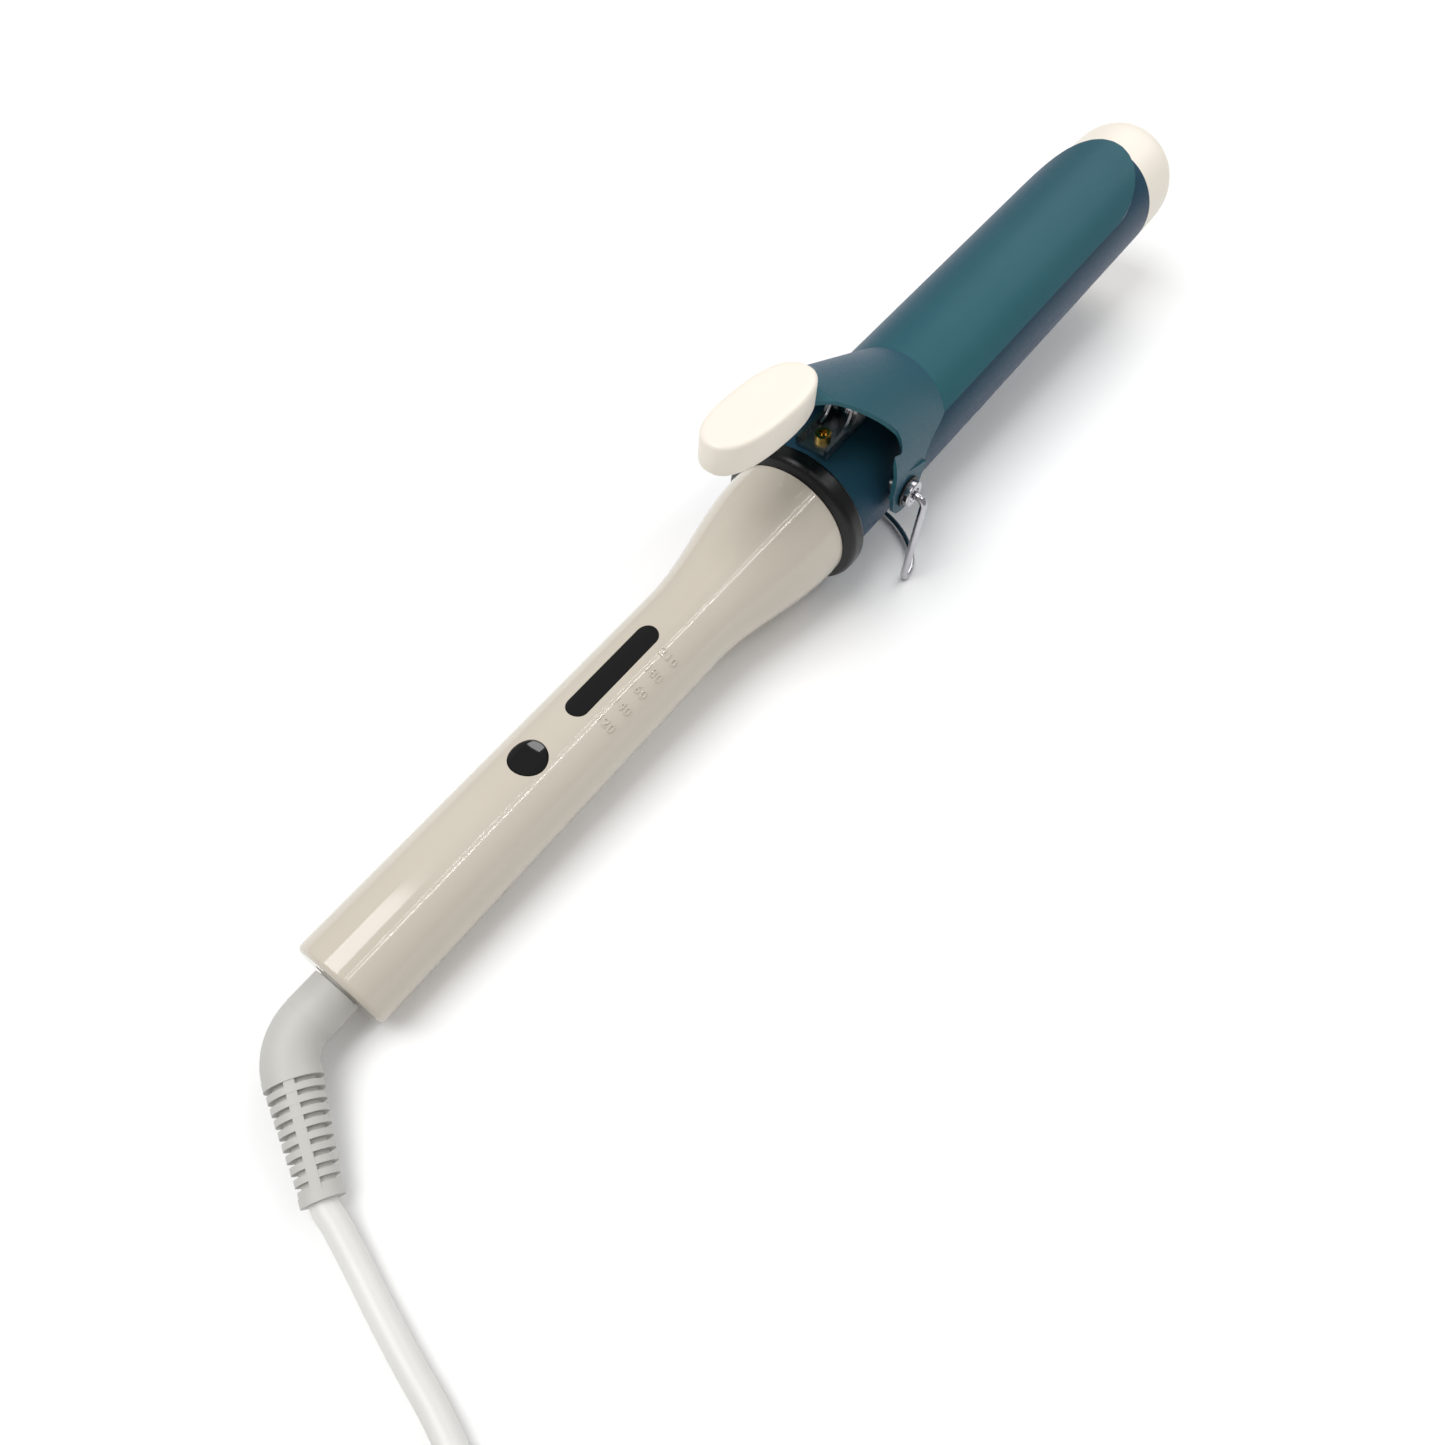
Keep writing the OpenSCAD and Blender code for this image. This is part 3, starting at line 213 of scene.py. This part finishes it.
# %% Cord tie
def band(name, loop, width, across, thick, body, replaced, slot):
    """A strip along a closed loop of points: width runs in the direction across."""
    verts, faces, n = [], [], len(loop)
    middle = sum(loop, Vector()) / n
    for p in loop:
        out = (p - middle).normalized() * thick
        for shift, lift in ((-0.5, 0), (0.5, 0), (0.5, 1), (-0.5, 1)):
            verts.append(p + across * width * shift + out * lift)
    for i in range(n):
        j = (i + 1) % n
        for k in range(4):
            m = (k + 1) % 4
            faces.append((4 * i + k, 4 * j + k, 4 * j + m, 4 * i + m))
    piece = mesh_piece(name, verts, faces, body, replaced, slot)
    edge = piece.modifiers.new("rounded edges", "BEVEL")
    edge.width, edge.segments = thick * 0.35, 2
    return piece


TIE_POINTS, TIE_HALF_W, TIE_ABOVE, TIE_BELOW = 40, 9.5, 9.3, 8.5
tie_angle = math.radians(250)
outward = Vector((math.cos(tie_angle), math.sin(tie_angle), 0))
sideways = Vector((-math.sin(tie_angle), math.cos(tie_angle), 0))
section_mid = (coil_middle + outward * 35.9 + Vector((0, 0, 9.6))) * MM
loop = []
for i in range(TIE_POINTS):
    x, z = oval(i / TIE_POINTS, TIE_HALF_W, 1, 2 / 0.45)
    z *= TIE_ABOVE if z > 0 else TIE_BELOW
    loop.append(section_mid + (outward * x + Vector((0, 0, z))) * MM)
tie = band("cord_tie", loop, 6 * MM, sideways, 0.9 * MM, "swivel", ("coil_tie",), "black_plastic")

# %% [markdown]
# ## Plug
# A flat two-pin plug is one moulding: a waisted body that widens to the pins, with a ribbed neck
# where the cord goes in. Cross-sections along its length are joined into one closed skin.

# %% Plug body
plug_turn = math.radians(90)
plug_axis = Vector((math.cos(plug_turn), math.sin(plug_turn), 0))
plug_side = Vector((-math.sin(plug_turn), math.cos(plug_turn), 0))
plug_start = Vector((-332, -41, 6.9)) * MM


def plug_skin():
    # distance along the plug, half width, half height, squareness (2 is round)
    rings = [(0, 3.9, 3.9, 2), (0.6, 4.4, 4.4, 2), (3, 4.5, 4.5, 2), (3.4, 3.9, 3.9, 2), (4.6, 3.9, 3.9, 2),
             (5, 4.7, 4.7, 2), (6.8, 4.9, 4.9, 2), (7.2, 4.3, 4.3, 2), (8.4, 4.4, 4.4, 2), (9, 6.5, 5.6, 2.4),
             (11, 9.5, 6.4, 3.2), (18, 12.4, 6.8, 4.5), (27, 15.6, 6.8, 5), (33.5, 17.2, 6.8, 5.5),
             (35.4, 17.3, 6.6, 5.5), (36, 16.5, 6, 5)]
    around, verts = 40, []
    for z, w, h, power in rings:
        for i in range(around):
            x, up = oval(i / around, w, h, power)
            verts.append(plug_start + (plug_axis * z + plug_side * x + Vector((0, 0, up))) * MM)
    faces = skin(len(rings), around)
    faces.append(tuple(reversed(range(around))))
    faces.append(tuple((len(rings) - 1) * around + i for i in range(around)))
    return verts, faces


plug = mesh_piece("plug_moulding", *plug_skin(), "swivel", ("plug_body",), "cord_pvc")

# %% [markdown]
# ## Colours and nodes
# Colours are picked as they look on a screen, as hex values, and one function turns them into the
# linear numbers that the shader works with. A second function adds one node with its settings and
# links, so that each finish reads as a short list.

# %% Helpers for finishes
def linear(hex_colour):
    parts = [int(hex_colour[i:i + 2], 16) / 255 for i in (1, 3, 5)]
    return (*[c / 12.92 if c <= 0.04045 else ((c + 0.055) / 1.055) ** 2.4 for c in parts], 1)


def add(material, kind, settings=(), links=()):
    """Adds one node: settings are (input or property, value), links are (input, other node, its output)."""
    node = material.node_tree.nodes.new(kind)
    for name, value in dict(settings).items():
        if isinstance(name, int) or name in node.inputs:
            node.inputs[name].default_value = value
        else:
            setattr(node, name, value)
    for into, other, out in links:
        material.node_tree.links.new(other.outputs[out], node.inputs[into])
    return node


def finish_named(name):
    material = bpy.data.materials.new(name)
    material.use_nodes = True
    material.node_tree.nodes.clear()
    return material


def surface(material, shader):
    out = add(material, "ShaderNodeOutputMaterial")
    material.node_tree.links.new(shader.outputs[0], out.inputs["Surface"])
    return material


def coat_on(piece, material):
    """Puts a finish on every slot of a piece."""
    slots = piece.data.materials
    if not slots:
        slots.append(material)
    for slot in piece.material_slots:
        slot.material = material


def per_mm(size_mm):
    """The noise scale whose features are about that many millimetres across."""
    return 1 / (size_mm * MM)


# %% [markdown]
# ## Moulded plastics
# ABS comes out of a polished mould glossy, with a trace of slow waviness where it shrank, and out
# of a spark-eroded mould satin, with a fine even grain. The same recipe serves both: the grain's
# size and depth, and the roughness, tell them apart. Real spark grain is about 0.1 mm, which is too
# fine to show, so it is drawn 0.3 mm wide.

# %% Moulded plastic
def moulded(name, light, dark, roughness, grain_mm, grain_depth, wave_depth=0.0, ior=1.54):
    m = finish_named(name)
    place = add(m, "ShaderNodeTexCoord")
    cloud = add(m, "ShaderNodeTexNoise", {"Scale": per_mm(40), "Detail": 2}, [("Vector", place, "Object")])
    tint = add(m, "ShaderNodeMix", {"data_type": "RGBA", 6: linear(dark), 7: linear(light)}, [(0, cloud, "Fac")])
    grain = add(m, "ShaderNodeTexNoise", {"Scale": per_mm(grain_mm), "Detail": 3}, [("Vector", place, "Object")])
    wave = add(m, "ShaderNodeTexNoise", {"Scale": per_mm(14), "Detail": 1}, [("Vector", place, "Object")])
    wide = add(m, "ShaderNodeBump", {"Strength": 1, "Distance": wave_depth * MM}, [("Height", wave, "Fac")])
    fine = add(m, "ShaderNodeBump", {"Strength": 1, "Distance": grain_depth * MM},
               [("Height", grain, "Fac"), ("Normal", wide, "Normal")])
    rough = add(m, "ShaderNodeMapRange", {"From Min": 0.3, "From Max": 0.7, "To Min": roughness * 0.9,
                                          "To Max": roughness * 1.1}, [("Value", grain, "Fac")])
    return surface(m, add(m, "ShaderNodeBsdfPrincipled", {"IOR": ior},
                          [("Base Color", tint, 2), ("Roughness", rough, 0), ("Normal", fine, "Normal")]))


handle_abs = moulded("glossy_abs_warm_grey", "#CCC4B6", "#C7BEB0", 0.09, 0.5, 0.0004, 0.012)
ivory_abs = moulded("satin_abs_ivory", "#F0E9DC", "#EBE3D6", 0.38, 0.3, 0.004)
guard_pa = moulded("satin_nylon_black", "#050607", "#030404", 0.3, 0.3, 0.003, ior=1.4)
black_abs = moulded("glossy_abs_black", "#040405", "#020203", 0.05, 0.5, 0.0003, 0.006)
sleeve_pvc = moulded("matt_pvc_grey", "#C4C3BE", "#BBBAB5", 0.55, 0.35, 0.010)
cord_pvc = moulded("satin_pvc_white", "#E2E1DD", "#DAD9D5", 0.42, 0.4, 0.006)
tie_pvc = moulded("soft_pvc_black", "#1B1B1D", "#141416", 0.5, 0.3, 0.008)
dark_pbt = moulded("matt_pbt_dark", "#303033", "#29292C", 0.5, 0.3, 0.006)
print("plastics made")

# %% [markdown]
# ## Ceramic-coated aluminium
# The barrel and clamp are aluminium, sprayed with a teal ceramic coat and baked. The coat hides the
# metal, is satin rather than glossy, and carries a fine orange peel. It looks bluer at a grazing
# angle: the specular tint gives part of that, and a painted reflection, a bluer colour mixed into
# the base colour towards the edges, gives the rest. The barrel's coat is drawn darker and bluer than
# the clamp's as painted shade under the clamp, so the same recipe is used for two tones.

# %% Ceramic coat
def ceramic_coat(name, dark, light, grazing_reflection_hex):
    m = finish_named(name)
    place = add(m, "ShaderNodeTexCoord")
    peel = add(m, "ShaderNodeTexNoise", {"Scale": per_mm(0.8), "Detail": 2}, [("Vector", place, "Object")])
    cloud = add(m, "ShaderNodeTexNoise", {"Scale": per_mm(30), "Detail": 2}, [("Vector", place, "Object")])
    graze = add(m, "ShaderNodeLayerWeight", {"Blend": 0.3})
    body = add(m, "ShaderNodeMix", {"data_type": "RGBA", 6: linear(dark), 7: linear(light)},
               [(0, cloud, "Fac")])
    # painted reflection: a bluer colour mixed into the base colour towards grazing angles
    tint = add(m, "ShaderNodeMix", {"data_type": "RGBA", 7: linear(grazing_reflection_hex)},
               [(0, graze, "Facing"), (6, body, 2)])
    bump = add(m, "ShaderNodeBump", {"Strength": 1, "Distance": 0.003 * MM}, [("Height", peel, "Fac")])
    rough = add(m, "ShaderNodeMapRange", {"From Min": 0.3, "From Max": 0.7, "To Min": 0.40, "To Max": 0.48},
                [("Value", peel, "Fac")])
    return surface(m, add(m, "ShaderNodeBsdfPrincipled", {"IOR": 1.5, "Specular IOR Level": 0.35,
                                                          "Specular Tint": linear("#4C7CA8")},
                          [("Base Color", tint, 2), ("Roughness", rough, 0), ("Normal", bump, "Normal")]))


clamp_coat = ceramic_coat("ceramic_coat_teal", "#2D5D61", "#336468", "#1C3B58")
# painted shade: the barrel's colours are darker and bluer than the clamp's to stand for shade under the clamp
barrel_coat = ceramic_coat("ceramic_coat_teal_painted_shade", "#1F424E", "#244A55", "#182F52")

# %% [markdown]
# ## Metals
# Plated wire, turned nuts and pressed sheet are all metal with a different surface. The recipe
# mixes a clean and a duller colour by a slow noise and draws fine scratches by stretching a noise
# along one direction. Metals keep the shader's own IOR.

# %% Metal
def metal(name, clean, dull, roughness, scratch_mm, scratch_depth, stretch=(1, 1, 1)):
    m = finish_named(name)
    place = add(m, "ShaderNodeTexCoord")
    along = add(m, "ShaderNodeMapping", {"Scale": stretch}, [("Vector", place, "Object")])
    marks = add(m, "ShaderNodeTexNoise", {"Scale": per_mm(scratch_mm), "Detail": 3}, [("Vector", along, "Vector")])
    cloud = add(m, "ShaderNodeTexNoise", {"Scale": per_mm(6), "Detail": 3}, [("Vector", place, "Object")])
    tint = add(m, "ShaderNodeMix", {"data_type": "RGBA", 6: linear(dull), 7: linear(clean)}, [(0, cloud, "Fac")])
    bump = add(m, "ShaderNodeBump", {"Strength": 1, "Distance": scratch_depth * MM}, [("Height", marks, "Fac")])
    rough = add(m, "ShaderNodeMapRange", {"From Min": 0.3, "From Max": 0.7, "To Min": roughness * 0.7,
                                          "To Max": roughness * 1.3}, [("Value", marks, "Fac")])
    return surface(m, add(m, "ShaderNodeBsdfPrincipled", {"Metallic": 1},
                          [("Base Color", tint, 2), ("Roughness", rough, 0), ("Normal", bump, "Normal")]))


nickel_plate = metal("nickel_plated_steel", "#C9C8CC", "#A9A8AD", 0.14, 0.4, 0.002)
zinc_steel = metal("zinc_plated_steel", "#B9B9B8", "#96979A", 0.28, 0.3, 0.004, (1, 8, 1))
black_steel = metal("blackened_steel", "#35363A", "#242529", 0.4, 0.3, 0.004)
brass = metal("turned_brass", "#D6B566", "#B08E45", 0.2, 0.3, 0.003)
bare_aluminium = metal("extruded_aluminium", "#D5D7DA", "#BEC0C4", 0.3, 0.3, 0.003, (0.1, 1, 1))

# %% [markdown]
# ## Inner parts
# The pieces inside the handle and barrel only show when the iron is taken apart, but each still
# gets the finish of its real material: solder mask over glass fibre, mica sheet, sintered ceramic.

# %% Solder mask, mica, ceramic and film
solder_mask = moulded("solder_mask_green", "#1F6B3C", "#185A31", 0.25, 0.3, 0.002)
mica_sheet = moulded("mica_sheet", "#CDBFA0", "#B9A988", 0.35, 1.2, 0.02)
ptc_ceramic = moulded("sintered_ceramic", "#6F6862", "#5F5953", 0.7, 0.4, 0.01)
amber_film = moulded("polyimide_film", "#B8702A", "#A5601E", 0.2, 0.6, 0.004)
capacitor_shell = moulded("epoxy_yellow", "#C99A2E", "#B98A22", 0.35, 0.3, 0.003)
graphite = moulded("pressed_graphite", "#2D2B2A", "#232120", 0.6, 0.3, 0.01)
clear_lens = moulded("clear_epoxy_lens", "#EEF0E4", "#E3E5D8", 0.1, 0.5, 0.001)

# %% Finishes on the CAD pieces
finishes = {
    handle_abs: ["handle_shell"],
    ivory_abs: ["tip_cap", "swivel_bush"],
    guard_pa: ["guard_ring"],
    black_abs: ["power_button", "display_window"],
    barrel_coat: ["barrel_tube"],
    clamp_coat: ["clamp_shell"],
    nickel_plate: ["pivot_studs", "pivot_nuts", "barrel_screws"],
    zinc_steel: ["spring_bracket", "spring_pin", "rest_screws", "neck_screw", "board_screws", "swivel_clip",
                 "thermal_fuse"],
    black_steel: ["pivot_washers"],
    brass: ["bracket_screw", "slip_rings", "plug_pins"],
    bare_aluminium: ["heat_spreaders", "heater_electrodes"],
    sleeve_pvc: ["cord_sleeve"],
    dark_pbt: ["board_cradle", "button_switch", "light_guide", "power_triac", "control_chip", "brush_block"],
    solder_mask: ["circuit_board"],
    mica_sheet: ["wire_disc", "tip_disc", "board_fuse"],
    ptc_ceramic: ["heater_plate"],
    amber_film: ["heater_film", "temperature_probe"],
    capacitor_shell: ["film_capacitor"],
    graphite: ["contact_brushes"],
    clear_lens: ["indicator_leds"],
    cord_pvc: ["heater_leads"],
}
for finish, nodes in finishes.items():
    for node in nodes:
        coat_on(frame["nodes"][node], finish)
coat_on(cord, cord_pvc)
coat_on(plug, cord_pvc)
coat_on(tie, tie_pvc)
print("finished nodes:", sum(len(v) for v in finishes.values()))

# %% [markdown]
# ## Softer edges
# No moulded or pressed edge is a knife edge. A small bevel on each catches a line of light.

# %% Bevels
EDGE_ANGLE = math.radians(40)  # only edges sharper than this are rounded
soft_edges = {"clamp_shell": 0.35, "spring_bracket": 0.15, "cord_sleeve": 0.25, "guard_ring": 0.2,
              "power_button": 0.2, "handle_shell": 0.25, "barrel_tube": 0.1, "bracket_screw": 0.12,
              "pivot_washers": 0.1, "plug_pins": 0.15}
for node, width in soft_edges.items():
    piece = frame["nodes"][node]
    bevel = piece.modifiers.new("soft edge", "BEVEL")
    bevel.width, bevel.segments = width * MM, 2
    bevel.limit_method = "ANGLE"
    bevel.angle_limit = EDGE_ANGLE
    bevel.harden_normals = True

# %% [markdown]
# ## Thumb rest
# The thumb rest is a flat oval button with a rounded rim. Its outline is a superellipse, a shape
# between an ellipse and a rectangle, and stacked outlines make the rim round over.

# %% Thumb rest
REST_LEN, REST_W, REST_H, REST_POWER, REST_SLOPE = 40.0, 16.2, 9.3, 2.45, math.radians(6.3)
rest_top = Vector((156.3, 0, 54.8))
across_x = Vector((math.cos(REST_SLOPE), 0, -math.sin(REST_SLOPE)))
upward = Vector((math.sin(REST_SLOPE), 0, math.cos(REST_SLOPE)))
around = 96
# height of each outline over the top, share of its full size, and how far in from the rim it is
levels = [(-REST_H, 1, 1.6), (-REST_H + 0.25, 1, 0.8), (-REST_H + 0.8, 1, 0.25), (-REST_H + 1.6, 1, 0)]
levels += [(-1.3, 1, 0), (-0.85, 1, 0.08), (-0.45, 1, 0.32), (-0.18, 1, 0.72), (-0.03, 1, 1.3), (0, 1, 2.0)]
# the top dishes very slightly towards its middle
levels += [(-0.05, 0.75, 2.0), (-0.12, 0.5, 2.0), (-0.17, 0.25, 2.0)]
verts = []
for height, share, inset in levels:
    for i in range(around):
        x, y = oval(i / around, (REST_LEN / 2 - inset) * share, (REST_W / 2 - inset) * share, REST_POWER)
        verts.append(iron_to_room @ (rest_top + across_x * x + Vector((0, y, 0)) + upward * height))
faces = skin(len(levels), around)
faces.append(tuple(len(verts) - around + i for i in range(around)))
faces.append(tuple(reversed(range(around))))
thumb_rest = mesh_piece("thumb_rest_moulding", verts, faces, "clamp", ("thumb_rest",), "ivory_plastic")
coat_on(thumb_rest, ivory_abs)
print("thumb rest:", len(verts), "points")

# %% [markdown]
# ## Stand wire
# One piece of nickel-plated wire makes the stand. Each end hooks into a pivot stud, runs down a leg
# to a tight bend, and the rest lies flat on the table as an arch that reaches towards the tip. When
# the stand is folded back, that arch wraps round under the neck. Three short formulas, for the upper
# bend, the foot and the arch, give the points of one half, and the other half is its mirror image.

# %% Stand wire
WIRE_D, LEG_LEN, LEG_LEAN, LEG_Y = 2.2, 30.3, math.radians(9.8), 29.0
LEG_BEND, FOOT_BEND, ARCH_REACH, ARCH_TURN = 2.6, 2.2, 21.1, 1.7
arch_rise = LEG_LEAN - tip_up
bend_l = FOOT_BEND * math.tan((math.pi / 2 + arch_rise) / 2)
half = [(0, 22.6, 0)]
for i in range(13):
    a = math.radians(90 - 90 * i / 12)
    half.append((0, LEG_Y - LEG_BEND + LEG_BEND * math.cos(a), -LEG_BEND + LEG_BEND * math.sin(a)))
for i in range(13):
    a = math.pi + (math.pi / 2 + arch_rise) * i / 12
    half.append((FOOT_BEND + FOOT_BEND * math.cos(a), LEG_Y, bend_l - LEG_LEN + FOOT_BEND * math.sin(a)))
for i in range(1, 41):
    a = math.radians(90 * i / 40)
    out = bend_l + (ARCH_REACH - bend_l) * math.sin(a) ** (2 / ARCH_TURN)
    half.append((out * math.cos(arch_rise), LEG_Y * math.cos(a), out * math.sin(arch_rise) - LEG_LEN))
whole = [Vector(q) for q in half + [(x, -y, z) for x, y, z in reversed(half[:-1])]]
lean = Matrix.Translation(pivot) @ Matrix.Rotation(LEG_LEAN, 4, "Y")
stand = round_wire("stand_wire_bent", [iron_to_room @ (lean @ q) for q in whole], WIRE_D * MM, "stand",
                   ("stand_wire",), sides=6)
coat_on(stand, nickel_plate)
print("stand wire:", round(length_of(whole), 1), "mm of wire")

# %% [markdown]
# ## Clamp spring
# The clamp is closed by a double torsion spring on a pin: two coils of 1 mm wire, wound opposite
# ways, joined by a bridge that pushes up under the hood, with their outer ends on the bracket.

# %% Clamp spring
BARREL_R = 19.0
SPRING_WIRE, SPRING_R, SPRING_TURNS = 1.0, 2.45, 3
ARM_LEN, ARM_LEAN = 15.5, math.radians(38)
COIL_IN, COIL_OUT = 1.45, 3.35  # where each coil starts and ends, out from the middle
spring_mid = Vector((pivot.x + 1, 0, BARREL_R + 5.2))


def spring_half(side):
    """From the bridge out along the coil to its end on the bracket, for one side."""
    points = []
    steps = 22 * SPRING_TURNS
    top = spring_mid + Vector((-2 - ARM_LEN * math.sin(ARM_LEAN), side * 1.4, 1.5 + ARM_LEN * math.cos(ARM_LEAN)))
    points += [Vector((top.x, 0, top.z)), top]
    for k in range(1, 5):
        points.append(top + (spring_mid + Vector((-2.1, side * 1.4, 1.3)) - top) * k / 4)
    for i in range(1, steps + 1):
        a = math.radians(150) + 2 * math.pi * SPRING_TURNS * i / steps
        y = side * (COIL_IN + (COIL_OUT - COIL_IN) * i / steps)
        points.append(spring_mid + Vector((SPRING_R * math.cos(a), y, SPRING_R * math.sin(a))))
    points.append(spring_mid + Vector((-4.5, side * 3.4, -2.6)))
    points.append(spring_mid + Vector((-7.5, side * 3.4, -3.5)))
    return points


left, right_half = spring_half(1), spring_half(-1)
spring_line = list(reversed(left)) + right_half[1:]
spring = round_wire("clamp_spring_wire", [iron_to_room @ p for p in spring_line], SPRING_WIRE * MM, "iron",
                    ("clamp_spring",), sides=3)
coat_on(spring, nickel_plate)

# %% [markdown]
# ## Raised numbers
# Five temperatures stand a quarter of a millimetre proud of the handle, beside the lights of the window. Blender's
# own letter shapes are set flat, given a thickness, and then wrapped round the handle: the reading
# direction becomes an angle, and the height of the digits lies along the handle.

# %% Temperature numbers
GRIP_R, DIGIT_H, PROUD, EDGE_R, SUNK = 12.7, 2.4, 0.22, 0.04, 0.02
TYPE_SIZE = 1.42  # type size for digits one unit high
NUMBERS_AT = math.radians(-36)  # round the handle from its top
for value, along in (("120", 84.0), ("140", 90.2), ("160", 96.3), ("180", 102.3), ("210", 108.3)):
    text = bpy.data.curves.new("number_" + value, "FONT")
    text.body = value
    text.size = DIGIT_H * TYPE_SIZE
    text.extrude = PROUD
    text.bevel_depth = EDGE_R
    text.align_x, text.align_y = "CENTER", "CENTER"
    text.space_character = 1.12
    flat = bpy.data.objects.new("number_" + value, text)
    bpy.context.scene.collection.objects.link(flat)
    mesh = bpy.data.meshes.new_from_object(flat)
    bpy.data.objects.remove(flat)
    for v in mesh.vertices:
        across, upright, out = v.co
        angle = NUMBERS_AT - across / GRIP_R
        r = GRIP_R + out - SUNK
        v.co = iron_to_room @ Vector((along + upright, r * math.sin(angle), r * math.cos(angle)))
    number = bpy.data.objects.new("scale_number_" + value, mesh)
    bpy.context.scene.collection.objects.link(number)
    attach(number, "iron")
    coat_on(number, handle_abs)

# %% [markdown]
# ## Floor and light
# A pale floor, two large soft lamps and two long narrow ones, as in a small product studio. The
# narrow lamps draw the twin bright lines along the handle.

# %% Studio
def lamp(name, place, aim, size, power, long_side=(1, 0, 0)):
    data = bpy.data.lights.new(name, "AREA")
    data.shape = "RECTANGLE"
    data.size, data.size_y = size
    data.energy = power
    light = bpy.data.objects.new(name, data)
    back = (Vector(place) - Vector(aim)).normalized()
    length = Vector(long_side)
    length = (length - back * length.dot(back)).normalized()
    facing_back = Matrix([length, back.cross(length), back]).transposed()
    light.matrix_world = Matrix.Translation(place) @ facing_back.to_4x4()
    bpy.context.scene.collection.objects.link(light)
    return light


floor_mesh = bpy.data.meshes.new("floor")
floor_mesh.from_pydata([(-6, -6, 0), (6, -6, 0), (6, 6, 0), (-6, 6, 0)], [], [(0, 1, 2, 3)])
floor = bpy.data.objects.new("floor", floor_mesh)
floor.location.z = -0.0002
bpy.context.scene.collection.objects.link(floor)
paper = finish_named("studio_paper")
fibres = add(paper, "ShaderNodeTexNoise", {"Scale": per_mm(2), "Detail": 4})
paper_bump = add(paper, "ShaderNodeBump", {"Strength": 0.1, "Distance": 0.0001}, [("Height", fibres, "Fac")])
surface(paper, add(paper, "ShaderNodeBsdfPrincipled", {"Base Color": linear("#FAFAFA"), "Roughness": 0.95},
                   [("Normal", paper_bump, "Normal")]))
coat_on(floor, paper)

lamp("top_softbox", (-0.5, 0.3, 1.3), (-0.05, 0, 0), (0.9, 0.9), 13)
lamp("strip", (0.3, -0.40, 0.75), (-0.02, 0, 0.03), (1.5, 0.012), 1.3)
lamp("strip_beside", (0.3, -0.33, 0.80), (-0.02, 0, 0.03), (1.5, 0.010), 0.7)
lamp("barrel_softbox", (0.8, 0.1, 0.9), (0.1, 0, 0.03), (0.7, 0.7), 3.0)

world = bpy.data.worlds.new("studio")
bpy.context.scene.world = world
world.use_nodes = True
world.node_tree.nodes["Background"].inputs["Color"].default_value = (1, 1, 1, 1)
world.node_tree.nodes["Background"].inputs["Strength"].default_value = 0.36
bpy.context.scene.view_settings.view_transform = "Standard"
